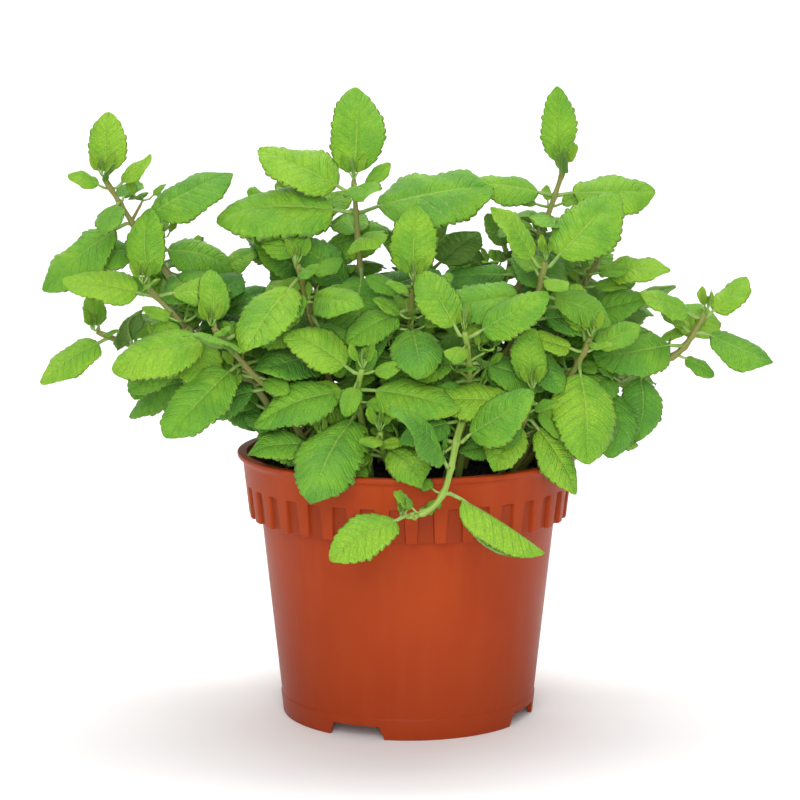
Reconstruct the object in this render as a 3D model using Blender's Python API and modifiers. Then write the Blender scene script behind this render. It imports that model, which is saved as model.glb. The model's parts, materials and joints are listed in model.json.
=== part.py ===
"""Potted mint: a ribbed nursery pot, its soil, and mint shoots with square stems and opposite leaves.

Each shoot is two solids, the bare stem that stands in the soil and the leafy sprig on top of it. A sprig
is one body, because its leaves grow out of its stem. The origin is at the centre of the pot's foot, +Z up,
and -Y is the side where the foliage spills over the rim.
"""

import math
import random

import bmesh
import bpy
from mathutils import Vector
from mathutils.bvhtree import BVHTree

MM = 0.001
GAP = 0.3 * MM  # between solids that rest on each other

# Pot, radii and heights
RIM_RADIUS = 70 * MM
POT_HEIGHT = 109 * MM
COLLAR_TOP_RADIUS = 67.7 * MM
COLLAR_BOTTOM_RADIUS = 65.1 * MM
COLLAR_BOTTOM = 82.4 * MM
BODY_TOP_RADIUS = 60.2 * MM
FOOT_RADIUS = 51.7 * MM
FOOT_LINE = 8.8 * MM  # the faint step above the foot ring
FOOT_RING_WALL = 1.8 * MM
FLOOR_UNDERSIDE = 5.6 * MM
FLOOR_TOP = 7.4 * MM
WALL = 1.7 * MM
LIP_HEIGHT = 1.8 * MM
INNER_LIP_RADIUS = 66.2 * MM
INNER_COLLAR_RADIUS = 62.0 * MM
POT_STEPS = 48

# Recesses round the collar, notches in the foot ring, drain holes in the floor
RECESS_COUNT = 36
RECESS_TOP = 96.0 * MM
RECESS_TOP_WIDTH = 5.4 * MM
RECESS_BOTTOM_WIDTH = 6.9 * MM
RECESS_FLOOR_RADII = (63.6 * MM, 65.2 * MM)  # at its bottom and top
RECESS_FIRST_ANGLE = math.radians(-84)
NOTCH_ANGLES = [math.radians(a) for a in (-114, -24, 66, 156)]
NOTCH_TOP_WIDTH = 20 * MM
NOTCH_BOTTOM_WIDTH = 25 * MM
DRAIN_RADIUS = 3.5 * MM
DRAIN_RING_RADIUS = 34 * MM

# Soil
SOIL_EDGE = 100 * MM
SOIL_CROWN = 101.5 * MM
SOIL_SHOULDER = 0.4 * MM  # how far the crown has dropped half way out

# Shoots
STEM_HALF_WIDTH = 1.35 * MM
SPRIG_BELOW_LAST_PAIR = 5 * MM
LEAF_WIDTH_RATIO = 0.66
LEAF_THICKNESS = 0.8 * MM
PETIOLE_RATIO = 0.10
PETIOLE_MIN = 1.6 * MM
PETIOLE_HALF_WIDTH = 0.75 * MM
NODE_HEIGHT = 1.2 * MM  # half the length of stem that a leaf pair grows from
LIGHT_TURN = 0.75  # share of the full turn that brings a leaf's face to the light
LIGHT_RISE = 0.62
LIGHT_FRONT = 0.75  # shoots at the back of the pot face the other way
BACK_STARTS = 40 * MM
ELBOW_ROOM = 0.45 * MM

# A shoot: the points its stem passes through, root first, then its leaf pairs from the tip down. A pair is
# (distance below the tip, compass angle, (rise of leaf, of its partner), (length, of its partner)), and
# sometimes (width, of its partner) as shares of the usual width. Angles are in degrees: 0 is +X, 90 is +Y.
# The partner grows opposite, unless the pair gives two angles. Distances are in millimetres.
SHOOTS = [
    ("front_spill", [(15, -28, 101), (21, -46, 127), (19, -58, 124), (16, -72, 113), (13, -79, 105),
                     (7, -82, 99), (-1, -83, 97)],
     [(0, 206, (-22, 10), (30, 8)), (4, (205, 60), (35, 20), (10, 9)), (15, (-12, 150), (-24, 20), (38, 9),
      (0.55, 1))]),
    ("centre_left", [(-15, -24, 101), (-18, -36, 124), (-20, -44, 138), (-18, -50, 149)],
     [(18, (252, 70), (-40, 5), (48, 24), (0.88, 1)), (0, 168, (34, 20), (30, 12)),
      (4, 75, (58, -30), (14, 15)), (8, (-24, 192), (0, -10), (35, 36))]),
    ("right_centre", [(42, -14, 101), (54, -22, 126), (66, -29, 146), (72, -32, 159)],
     [(0, 112, (66, 5), (22, 14)), (4, 18, (30, 24), (21, 18)), (9, (-86, 100), (-46, 10), (39, 26)),
      (30, 20, (-20, 0), (36, 30))]),
    ("right_front", [(36, -28, 101), (42, -38, 118), (46, -46, 130), (48, -51, 141)],
     [(0, 80, (66, 0), (22, 12)), (4, 187, (-4, -20), (32, 16)), (12, (-112, -26), (-48, -26), (26, 31))]),
    ("centre_right", [(20, -22, 101), (24, -32, 130), (24, -40, 150), (22, -45, 163)],
     [(0, (-10, 150), (34, 45), (30, 27)), (4, 75, (50, -5), (14, 16)), (12, 190, (-5, -10), (24, 28)),
      (28, -75, (-35, 10), (30, 30))]),
    ("bottom_centre", [(-4, -30, 101), (-8, -42, 110), (-10, -50, 118), (-11, -55, 125)],
     [(0, 75, (20, -10), (16, 16)), (5, (-52, 130), (-36, 0), (28, 22)), (12, 20, (-6, -10), (24, 24))]),
    ("left_low_front", [(-30, -28, 101), (-31, -38, 108), (-32, -45, 114), (-34, -49, 121)],
     [(0, 195, (0, 12), (24, 14)), (5, 110, (0, -10), (22, 18)), (11, 215, (-8, 0), (24, 16))]),
    ("left_front", [(-36, -26, 101), (-48, -32, 130), (-64, -36, 148), (-77, -38, 164)],
     [(0, 105, (72, 10), (22, 13)), (4, 190, (-8, 20), (38, 30)), (17, 222, (-28, 5), (38, 30)),
      (32, 165, (-12, -8), (32, 30))]),
    ("centre_high", [(1, -6, 101), (1, -12, 140), (1, -22, 163), (2, -30, 181)],
     [(0, 85, (82, 12), (28, 14)), (4, 175, (32, 35), (15, 13)), (11, 205, (-18, -5), (24, 22)),
      (25, -88, (-34, 15), (28, 32)), (44, 5, (0, -5), (36, 38))]),
    ("right_upper", [(22, -8, 101), (32, -16, 138), (48, -27, 166), (54, -31, 189)],
     [(0, 22, (46, 55), (38, 27)), (4, 112, (30, -5), (20, 15)), (12, 190, (12, -15), (34, 26)),
      (34, -80, (-20, 10), (32, 34))]),
    ("left_centre", [(-24, -8, 101), (-32, -12, 140), (-40, -17, 168), (-44, -20, 187)],
     [(0, 112, (48, 10), (31, 15)), (4, 214, (-30, 30), (38, 16)), (20, -60, (-22, 10), (27, 28)),
      (38, 215, (-15, 0), (34, 34))]),
    ("crown_tall", [(-11, 8, 101), (-17, 7, 150), (-20, 3, 190), (-22, 0, 219)],
     [(0, 95, (80, 0), (36, 24)), (3, 172, (42, 50), (37, 14)), (11, 4, (20, 8), (50, 49)),
      (34, 95, (0, -22), (38, 42)), (58, 10, (-10, -10), (36, 38))]),
    ("left_high_front", [(-42, -14, 101), (-60, -16, 135), (-85, -20, 158), (-105, -22, 179)],
     [(0, 95, (80, 20), (28, 13)), (4, 182, (14, 12), (31, 24)), (13, -100, (-35, 10), (24, 24)),
      (32, 200, (-20, 5), (30, 28))]),
    ("far_left_high", [(-40, 10, 101), (-62, 12, 140), (-98, 8, 180), (-123, 0, 220)],
     [(0, 100, (80, 35), (25, 14)), (3, 10, (48, 28), (16, 13)), (10, -98, (-12, 30), (22, 17)),
      (20, (6, 198), (40, -26), (39, 39)), (46, 100, (15, -12), (32, 32))]),
    ("far_left_low", [(-48, 0, 101), (-72, 4, 128), (-100, 8, 144), (-128, 10, 156)],
     [(0, 120, (68, 15), (16, 9)), (5, 205, (-24, 20), (29, 14)), (24, 250, (-30, 20), (20, 18)),
      (44, 170, (-20, 15), (30, 26))]),
    ("far_right", [(46, -2, 101), (68, -7, 130), (90, -6, 141), (110, -2, 149), (121, 0, 165)],
     [(0, 22, (44, 25), (21, 24)), (7, (-12, 150), (-14, 40), (28, 12)), (20, 165, (38, -20), (21, 14)),
      (34, -95, (-62, 10), (26, 18)), (50, -60, (-55, 0), (32, 30))]),
    ("right_high", [(22, 16, 101), (36, 19, 150), (53, 21, 190), (64, 20, 222)],
     [(0, 95, (80, 35), (32, 14), (0.65, 1)), (9, 188, (15, 9), (27, 36)), (32, 95, (5, -10), (34, 36)),
      (58, 5, (0, 0), (36, 38))]),
    ("right_back_mid", [(40, 20, 101), (54, 20, 140), (69, 17, 168), (79, 13, 187)],
     [(0, 70, (62, 30), (18, 14)), (5, -15, (10, 25), (26, 20)), (20, 80, (10, 0), (30, 32)),
      (42, -10, (-10, 0), (36, 34))]),
    ("behind_left", [(-22, 24, 101), (-30, 26, 145), (-40, 28, 180), (-46, 28, 205)], 0.92),
    ("left_back", [(-38, 26, 101), (-54, 32, 140), (-76, 37, 162), (-91, 38, 180)], 0.80),
    ("back_centre", [(2, 30, 101), (6, 38, 150), (10, 44, 186)], 1.0),
    ("back_right", [(20, 30, 101), (28, 46, 140), (40, 56, 168), (46, 60, 186)], 0.95),
    ("back_left", [(-16, 38, 101), (-27, 54, 138), (-38, 68, 156), (-48, 76, 168)], 0.85),
    ("right_back_low", [(46, 24, 101), (62, 34, 132), (80, 44, 150), (90, 48, 168)], 0.85),
    ("left_back_low", [(-48, 20, 101), (-66, 36, 128), (-82, 48, 142), (-94, 54, 158)], 0.85),
    ("back_low", [(6, 46, 101), (5, 59, 124), (3, 70, 134), (1, 78, 147)], 0.80),
    ("back_left_low", [(-26, 38, 101), (-40, 55, 122), (-54, 68, 130), (-63, 75, 142)], 0.85),
    ("back_right_low", [(29, 36, 101), (42, 52, 124), (60, 66, 134), (72, 74, 146)], 0.85),
]
# What an ordinary shoot grows: distance below the tip, rise and length of each pair in turn.
ORDINARY_PAIRS = [(0, 66, 17), (5, 38, 27), (18, 14, 35), (38, -4, 38)]
GOLDEN_TURN = 137.5  # spreads the compass angles of ordinary shoots


# ---------------------------------------------------------------- growth


def stem_point(points, t):
    """A point of the smooth curve through points, with t from 0 at the root to 1 at the tip."""
    place = t * (len(points) - 1)
    i = min(int(place), len(points) - 2)
    u = place - i
    a, b, c, d = (points[max(0, min(len(points) - 1, i + k))] for k in (-1, 0, 1, 2))
    bend = 2 * a - 5 * b + 4 * c - d
    twist = 3 * b - a - 3 * c + d
    return 0.5 * (2 * b + (c - a) * u + bend * u ** 2 + twist * u ** 3)


def stem_line(points, samples=160):
    """Closely spaced points along a stem, root first, and each one's distance from the tip."""
    line = [stem_point(points, i / samples) for i in range(samples + 1)]
    below = [0.0]
    for k in range(samples, 0, -1):
        below.append(below[-1] + (line[k] - line[k - 1]).length)
    return line, below[::-1]


def stem_at(stem, distance):
    """Point and direction of a stem at a distance below its tip."""
    line, below = stem
    k = next((i for i in range(1, len(line)) if below[i] <= distance), len(line) - 1)
    span = below[k - 1] - below[k]
    share = min(1.0, max(0.0, (below[k - 1] - distance) / span))
    return line[k - 1].lerp(line[k], share), (line[k] - line[k - 1]).normalized()


def compass(angle):
    return Vector((math.cos(math.radians(angle)), math.sin(math.radians(angle)), 0))


def light_on(stem):
    """The direction the light falls from on a shoot: above, in front and a little from its own side."""
    tip = stem[0][-1]
    front = Vector((0, 1 if tip.y > BACK_STARTS else -1, 0))
    own_side = Vector((tip.x, tip.y, 0)).normalized()
    return (Vector((0, 0, LIGHT_RISE)) + front * LIGHT_FRONT + own_side * 0.2).normalized()


def leaf_line(root, angle, rise, length, curl, light, steps=10):
    """Frames (point, forward, side, face) of a leaf: one at the stem, the rest along its blade."""
    out, up = compass(angle), Vector((0, 0, 1))
    forward = out * math.cos(math.radians(rise)) + up * math.sin(math.radians(rise))
    face = up * math.cos(math.radians(rise)) - out * math.sin(math.radians(rise))
    side = forward.cross(face)
    lit = (light - forward * light.dot(forward)).normalized()
    turn = math.atan2(lit.dot(side), lit.dot(face)) * LIGHT_TURN
    turn = max(-1.1, min(1.1, turn))
    face = (face * math.cos(turn) + side * math.sin(turn)).normalized()
    side = forward.cross(face)
    petiole = PETIOLE_MIN + PETIOLE_RATIO * length
    point = root + out * (STEM_HALF_WIDTH + 1.2 * MM) + up * 0.4 * MM
    frames = [(point, forward, side, face)]
    point = point + forward * petiole
    frames.append((point, forward, side, face))
    for _ in range(steps):
        bend = math.radians(curl) / steps
        forward, face = (
            (forward * math.cos(bend) - face * math.sin(bend)).normalized(),
            (face * math.cos(bend) + forward * math.sin(bend)).normalized(),
        )
        point = point + forward * (length / steps)
        frames.append((point, forward, side, face))
    return frames


# Share of the blade's length against share of its full width, from the petiole to the tip
BLADE_WIDTHS = [(0.0, 0.3), (0.2, 0.86), (0.5, 1.0), (0.8, 0.7), (1.0, 0.1)]


def leaf_sections(frames, length, width, grow=0.0):
    """Rectangles (centre, side, face, half width, half thickness) along a leaf."""
    point, _, side, face = frames[0]
    sections = [(point, side, face, PETIOLE_HALF_WIDTH, PETIOLE_HALF_WIDTH)]
    steps = len(frames) - 2
    for share, full in BLADE_WIDTHS:
        point, _, side, face = frames[1 + round(share * steps)]
        half = max(PETIOLE_HALF_WIDTH, full * width * length * LEAF_WIDTH_RATIO / 2)
        sections.append((point, side, face, half + grow, LEAF_THICKNESS / 2 + grow))
    return sections


def corners(section):
    centre, side, face, half_width, half_height = section
    return [centre + side * half_width * a + face * half_height * b
            for a, b in ((-1, -1), (1, -1), (1, 1), (-1, 1))]


def box_chain(sections):
    """Points and faces of a closed tube through rectangular sections."""
    points = [p for section in sections for p in corners(section)]
    faces = [(0, 3, 2, 1)]
    for k in range(len(sections) - 1):
        low, high = 4 * k, 4 * k + 4
        faces += [(low + i, low + (i + 1) % 4, high + (i + 1) % 4, high + i) for i in range(4)]
    end = len(points) - 4
    return points, faces + [(end, end + 1, end + 2, end + 3)]


class Room:
    """The space already taken, so that a new leaf can look for a free place."""

    def __init__(self):
        self.points, self.faces = [], []

    def take(self, points, faces):
        start = len(self.points)
        self.points += points
        self.faces += [[start + i for i in face] for face in faces]
        self.tree = BVHTree.FromPolygons(self.points, self.faces)

    def free(self, points, faces):
        return not self.tree.overlap(BVHTree.FromPolygons(points, faces))


def tries():
    """Changes (turn, rise, size) that a leaf may make to find room, the smallest first."""
    moves = [(turn, rise, size) for size in (1.0, 0.85, 0.7, 0.55)
             for turn in (0, -12, 12, -24, 24, -36, 36) for rise in (0, 12, -12, 24, -24, 38, -38)]
    return sorted(moves, key=lambda m: abs(m[0]) / 12 + abs(m[1]) / 12 + (1 - m[2]) * 14)


def pot_room():
    """The pot and soil as a plain drum and lip, which leaves stay out of."""
    points, faces, sides = [], [], 32
    outline = [(0, SOIL_CROWN + 0.6 * MM), (INNER_LIP_RADIUS - MM, SOIL_EDGE + 0.6 * MM),
               (INNER_LIP_RADIUS - MM, POT_HEIGHT + 0.6 * MM),
               (RIM_RADIUS + 0.8 * MM, POT_HEIGHT + 0.6 * MM),
               (RIM_RADIUS + 0.8 * MM, POT_HEIGHT - 4 * MM),
               (COLLAR_BOTTOM_RADIUS + 2.5 * MM, COLLAR_BOTTOM),
               (FOOT_RADIUS + 2 * MM, 0)]
    for radius, height in outline:
        for k in range(sides):
            turn = 2 * math.pi * k / sides
            points.append(Vector((radius * math.cos(turn), radius * math.sin(turn), height)))
    for row in range(len(outline) - 1):
        for k in range(sides):
            low, high, after = row * sides, (row + 1) * sides, (k + 1) % sides
            faces.append((low + k, low + after, high + after, high + k))
    return points, faces


def stem_sections(stem, start, end, steps, half):
    """Square sections of a stem between two distances below its tip."""
    sections = []
    for k in range(steps + 1):
        point, along = stem_at(stem, start + (end - start) * k / steps)
        side = along.cross(Vector((0, 1, 0))).normalized()
        sections.append((point, side, along.cross(side), half, half))
    return sections


def pairs_of(index, pairs):
    """A shoot's leaf pairs. A number stands for an ordinary shoot of that vigour."""
    if isinstance(pairs, list):
        return pairs
    first = index * GOLDEN_TURN
    return [(below, first + 90 * k, (rise, rise), (size * pairs, size * pairs))
            for k, (below, rise, size) in enumerate(ORDINARY_PAIRS)]


def leaves_of(index, pairs):
    """Every leaf of a shoot as (order, distance below the tip, angle, rise, length, width share)."""
    leaves = []
    for order, (below, angles, rises, lengths, *widths) in enumerate(pairs_of(index, pairs)):
        angles = angles if isinstance(angles, tuple) else (angles, angles + 180)
        widths = widths[0] if widths else (1, 1)
        for partner in (0, 1):
            leaves.append((order, below, angles[partner], rises[partner], lengths[partner], widths[partner]))
    return leaves


def grow():
    """Every shoot as {name, stem, leaves}. A leaf has its place on the stem, its angle and its sections."""
    chance = random.Random(7)
    room = Room()
    room.take(*pot_room())
    plants = []
    for name, points, pairs in SHOOTS:
        stem = stem_line([Vector(p) * MM for p in points])
        room.take(*box_chain(stem_sections(stem, stem[1][0], 0, 14, STEM_HALF_WIDTH + ELBOW_ROOM)))
        plants.append({"name": name, "stem": stem, "leaves": []})
    for index, (plant, (_, _, pairs)) in enumerate(zip(plants, SHOOTS)):
        light = light_on(plant["stem"])
        for order, below, angle, rise, full, width in leaves_of(index, pairs):
            root, _ = stem_at(plant["stem"], (below + 2.5) * MM)
            curl = 12 + 6 * order
            wobble = chance.uniform(-3, 3)
            for turn, lift, size in tries():
                length = full * size * MM
                frames = leaf_line(root, angle + turn + wobble, rise + lift, length, curl, light)
                blade = leaf_sections(frames, length, width, ELBOW_ROOM)[1:]
                if room.free(*box_chain(blade)):
                    sections = leaf_sections(frames, length, width)
                    room.take(*box_chain(sections))
                    plant["leaves"].append(
                        {"below": (below + 2.5) * MM, "angle": angle, "sections": sections})
                    break
    return plants


# ---------------------------------------------------------------- solids


def material(name, colour, roughness):
    made = bpy.data.materials.new(name)
    made.use_nodes = True
    shader = made.node_tree.nodes["Principled BSDF"]
    shader.inputs["Base Color"].default_value = (*colour, 1)
    shader.inputs["Roughness"].default_value = roughness
    made.diffuse_color = (*colour, 1)
    return made


def object_from(name, mesh_or_curve, collection, finish=None):
    made = bpy.data.objects.new(name, mesh_or_curve)
    collection.objects.link(made)
    if finish:
        made.data.materials.append(finish)
    return made


def turned(name, profile, collection, finish):
    """A solid of revolution from an outline of (radius, height), its outer side listed top to bottom."""
    mesh = bpy.data.meshes.new(name)
    edges = [(k, k + 1) for k in range(len(profile) - 1)]
    mesh.from_pydata([(r, 0, z) for r, z in profile], edges, [])
    made = object_from(name, mesh, collection, finish)
    screw = made.modifiers.new("turn", "SCREW")
    screw.steps = screw.render_steps = POT_STEPS
    screw.use_merge_vertices = True
    screw.merge_threshold = 0.00002
    return made


def pot_profile():
    """From the centre of the underside out to the foot, up the outside, over the lip and down the inside."""
    lip_under = POT_HEIGHT - LIP_HEIGHT
    outside = [
        (0, FLOOR_UNDERSIDE),
        (FOOT_RADIUS - FOOT_RING_WALL, FLOOR_UNDERSIDE),
        (FOOT_RADIUS - FOOT_RING_WALL, 0),
        (FOOT_RADIUS, 0),
        (FOOT_RADIUS + 0.9 * MM, FOOT_LINE - 0.4 * MM),
        (FOOT_RADIUS + 0.6 * MM, FOOT_LINE),
        (BODY_TOP_RADIUS, COLLAR_BOTTOM),
        (COLLAR_BOTTOM_RADIUS - 0.4 * MM, COLLAR_BOTTOM),
        (COLLAR_BOTTOM_RADIUS, COLLAR_BOTTOM + 0.4 * MM),
        (COLLAR_TOP_RADIUS, lip_under - 1.6 * MM),
        (RIM_RADIUS - 0.4 * MM, lip_under),
        (RIM_RADIUS, lip_under + 0.5 * MM),
        (RIM_RADIUS - 0.3 * MM, POT_HEIGHT - 0.2 * MM),
        (RIM_RADIUS - 1.2 * MM, POT_HEIGHT),
    ]
    inside = [
        (INNER_LIP_RADIUS + 0.8 * MM, POT_HEIGHT),
        (INNER_LIP_RADIUS, POT_HEIGHT - 0.8 * MM),
        (INNER_COLLAR_RADIUS, COLLAR_BOTTOM + 1 * MM),
        (BODY_TOP_RADIUS - WALL, COLLAR_BOTTOM - 2 * MM),
        (FOOT_RADIUS + 0.6 * MM - WALL, FLOOR_TOP + 1 * MM),
        (FOOT_RADIUS - 0.6 * MM - WALL, FLOOR_TOP),
        (0, FLOOR_TOP),
    ]
    return (outside + inside)[::-1]


def wedge(bm, angle, radii, widths, heights):
    """A cutter with a trapezium face. Widths, heights and the inner radii are (bottom, top) pairs."""
    made = bmesh.ops.create_cube(bm, size=1)["verts"]
    out = Vector((math.cos(angle), math.sin(angle), 0))
    across = Vector((-math.sin(angle), math.cos(angle), 0))
    for vert in made:
        top = vert.co.z > 0
        inner, outer = radii
        radius = outer if vert.co.x > 0 else inner[top]
        width = widths[top] * vert.co.y
        vert.co = out * radius + across * width + Vector((0, 0, heights[top]))


def cutters(collection):
    """One mesh of all the pot's cutters: collar recesses, foot notches and drain holes."""
    bm = bmesh.new()
    for k in range(RECESS_COUNT):
        angle = RECESS_FIRST_ANGLE + 2 * math.pi * k / RECESS_COUNT
        wedge(bm, angle, (RECESS_FLOOR_RADII, RIM_RADIUS + 4 * MM),
              (RECESS_BOTTOM_WIDTH, RECESS_TOP_WIDTH), (COLLAR_BOTTOM - 1 * MM, RECESS_TOP))
    for angle in NOTCH_ANGLES:
        wedge(bm, angle, ((FOOT_RADIUS - 6 * MM, FOOT_RADIUS - 6 * MM), FOOT_RADIUS + 6 * MM),
              (NOTCH_BOTTOM_WIDTH, NOTCH_TOP_WIDTH), (-1 * MM, FLOOR_UNDERSIDE - 0.2 * MM))
    drains = [Vector((0, 0, 0))] + [compass(45 + 90 * k) * DRAIN_RING_RADIUS for k in range(4)]
    for place in drains:
        hole = bmesh.ops.create_cone(bm, cap_ends=True, segments=10, radius1=DRAIN_RADIUS,
                                     radius2=DRAIN_RADIUS, depth=6 * MM)["verts"]
        bmesh.ops.translate(bm, verts=hole, vec=place + Vector((0, 0, (FLOOR_TOP + FLOOR_UNDERSIDE) / 2)))
    mesh = bpy.data.meshes.new("pot_cutters")
    bm.to_mesh(mesh)
    bm.free()
    made = object_from("pot_cutters", mesh, collection)
    made.hide_render = True
    made.display_type = "WIRE"
    return made


def pot(collection, cutter_collection, finish):
    made = turned("pot", pot_profile(), collection, finish)
    cut = made.modifiers.new("recesses_notches_drains", "BOOLEAN")
    cut.operation = "DIFFERENCE"
    cut.object = cutters(cutter_collection)
    return made


def soil_radius():
    slope = (INNER_LIP_RADIUS - INNER_COLLAR_RADIUS) / (POT_HEIGHT - 0.8 * MM - COLLAR_BOTTOM - MM)
    return INNER_COLLAR_RADIUS + slope * (SOIL_EDGE - COLLAR_BOTTOM - MM) - GAP - 0.2 * MM


def soil_height(radius):
    """Height of the soil's top at a distance from the middle."""
    half = soil_radius() / 2
    shoulder = SOIL_CROWN - SOIL_SHOULDER
    if radius < half:
        return SOIL_CROWN - SOIL_SHOULDER * radius / half
    return shoulder - (shoulder - SOIL_EDGE) * (radius - half) / half


def soil(collection, finish):
    """The root ball, a slightly domed plug that fills the pot to just under its rim."""
    edge = soil_radius()
    profile = [
        (0, SOIL_CROWN),
        (edge * 0.5, SOIL_CROWN - SOIL_SHOULDER),
        (edge, SOIL_EDGE),
        (INNER_COLLAR_RADIUS - GAP, COLLAR_BOTTOM + MM),
        (BODY_TOP_RADIUS - WALL - GAP, COLLAR_BOTTOM - 2 * MM),
        (FOOT_RADIUS + 0.6 * MM - WALL - GAP, FLOOR_TOP + MM + GAP),
        (FOOT_RADIUS - 0.6 * MM - WALL - GAP, FLOOR_TOP + GAP),
        (0, FLOOR_TOP + GAP),
    ]
    return turned("soil", profile, collection, finish)


def bare_stem(plant, cut, collection, finish):
    """The lower stem, from the soil to the sprig: a curve with a square bevel, as mint stems are square."""
    curve = bpy.data.curves.new("stem_" + plant["name"], "CURVE")
    curve.dimensions = "3D"
    curve.bevel_depth = STEM_HALF_WIDTH * math.sqrt(2)
    curve.bevel_resolution = 0
    curve.use_fill_caps = True
    root = plant["stem"][0][0]
    rest = soil_height(root.xy.length) + GAP
    start, end = plant["stem"][1][0] - 4 * MM, cut + GAP
    steps = max(2, round((start - end) / (9 * MM)))
    path = [Vector((root.x, root.y, rest)), Vector((root.x, root.y, rest + 1.5 * MM))]
    path += [stem_at(plant["stem"], start + (end - start) * k / steps)[0] for k in range(steps + 1)]
    spline = curve.splines.new("POLY")
    spline.points.add(len(path) - 1)
    for point, place in zip(spline.points, path):
        point.co = (*place, 1)
    return object_from("stem_" + plant["name"], curve, collection, finish)


def extrude_to(bm, face, old, new):
    """Extrudes a rectangular face and carries its corners from one section to the next."""
    made = bmesh.ops.extrude_discrete_faces(bm, faces=[face])["faces"][0]
    place_corners(made.verts, old, new)
    return made


def place_corners(verts, old, new):
    centre, side, up = old[:3]
    for vert in verts:
        a = 1 if (vert.co - centre).dot(side) > 0 else -1
        b = 1 if (vert.co - centre).dot(up) > 0 else -1
        vert.co = new[0] + new[1] * new[3] * a + new[2] * new[4] * b


def square_section(plant, below, out, half):
    """The stem's square section, with one side facing out."""
    point, along = stem_at(plant["stem"], below)
    side = (out - along * out.dot(along)).normalized()
    return (point, side, along.cross(side), half, half)


def sprig(plant, cut, collection, finish):
    """The leafy top of a shoot as one closed body. The square stem is extruded upwards, and where a leaf
    pair grows, the two side faces there are extruded outwards along their leaves."""
    out = compass(plant["leaves"][0]["angle"])
    nodes = sorted({leaf["below"] for leaf in plant["leaves"]}, reverse=True)
    heights = [cut]
    for below in nodes:
        heights += [below + NODE_HEIGHT, below - NODE_HEIGHT]
    heights.append(0)
    bm = bmesh.new()
    bmesh.ops.create_cube(bm, size=2)
    unit = (Vector(), Vector((1, 0, 0)), Vector((0, 1, 0)), 1, 1)
    sections = [square_section(plant, h, out, STEM_HALF_WIDTH) for h in heights]
    sections[-1] = sections[-1][:3] + (STEM_HALF_WIDTH * 0.45, STEM_HALF_WIDTH * 0.45)
    foot = [v for v in bm.verts if v.co.z < 0]
    head = [v for v in bm.verts if v.co.z > 0]
    place_corners(foot, unit, sections[0])
    place_corners(head, unit, sections[1])
    bm.normal_update()
    along = sections[1][0] - sections[0][0]
    top = max(bm.faces, key=lambda f: (f.calc_center_median() - sections[0][0]).dot(along))
    for k in range(2, len(sections)):
        before = set(bm.faces)
        top = extrude_to(bm, top, sections[k - 1], sections[k])
        if k % 2 or k == len(sections) - 1:
            continue
        sides = [f for f in set(bm.faces) - before if f != top]
        for leaf in plant["leaves"]:
            if abs(leaf["below"] - nodes[k // 2 - 1]) < 1e-9:
                grow_leaf(bm, sides, leaf, (sections[k - 1][0] + sections[k][0]) / 2, sections[k])
    bmesh.ops.recalc_face_normals(bm, faces=bm.faces)
    mesh = bpy.data.meshes.new("sprig_" + plant["name"])
    bm.to_mesh(mesh)
    bm.free()
    return object_from("sprig_" + plant["name"], mesh, collection, finish)


def grow_leaf(bm, sides, leaf, centre, section):
    """Extrudes the stem's side face nearest the leaf's compass angle along the leaf."""
    out = compass(leaf["angle"])
    face = max(sides, key=lambda f: (f.calc_center_median() - centre).normalized().dot(out))
    sides.remove(face)
    middle = face.calc_center_median()
    outward = (middle - centre).normalized()
    up = section[1].cross(section[2]).normalized()
    up = up if up.z > -0.2 else -up
    old = (middle, outward.cross(up), up, 0, 0)
    for new in leaf["sections"]:
        face = extrude_to(bm, face, old, new)
        old = new


# ---------------------------------------------------------------- the model


def clear_scene():
    for old in list(bpy.data.objects):
        bpy.data.objects.remove(old)


def collection_named(name):
    made = bpy.data.collections.new(name)
    bpy.context.scene.collection.children.link(made)
    return made


def main():
    clear_scene()
    parts = collection_named("potted_mint")
    helpers = collection_named("cutters")
    plastic = material("terracotta_plastic", (0.42, 0.075, 0.025), 0.4)
    peat = material("peat_soil", (0.02, 0.014, 0.01), 0.95)
    stem_green = material("stem_green", (0.25, 0.24, 0.06), 0.6)
    leaf_green = material("leaf_green", (0.17, 0.45, 0.05), 0.55)
    pot(parts, helpers, plastic)
    soil(parts, peat)
    for plant in grow():
        cut = max(leaf["below"] for leaf in plant["leaves"]) + SPRIG_BELOW_LAST_PAIR
        bare_stem(plant, cut, parts, stem_green)
        sprig(plant, cut, parts, leaf_green)
        print(plant["name"], len(plant["leaves"]), "leaves")


main()
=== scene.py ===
# %% [markdown]
# # A pot of mint
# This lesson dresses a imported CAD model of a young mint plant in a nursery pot. The CAD gives the size
# and place of every part, and this file gives the looks. Everything is in metres, +Z is up, and the
# origin is under the middle of the pot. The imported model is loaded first, and nothing in it is moved.

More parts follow.
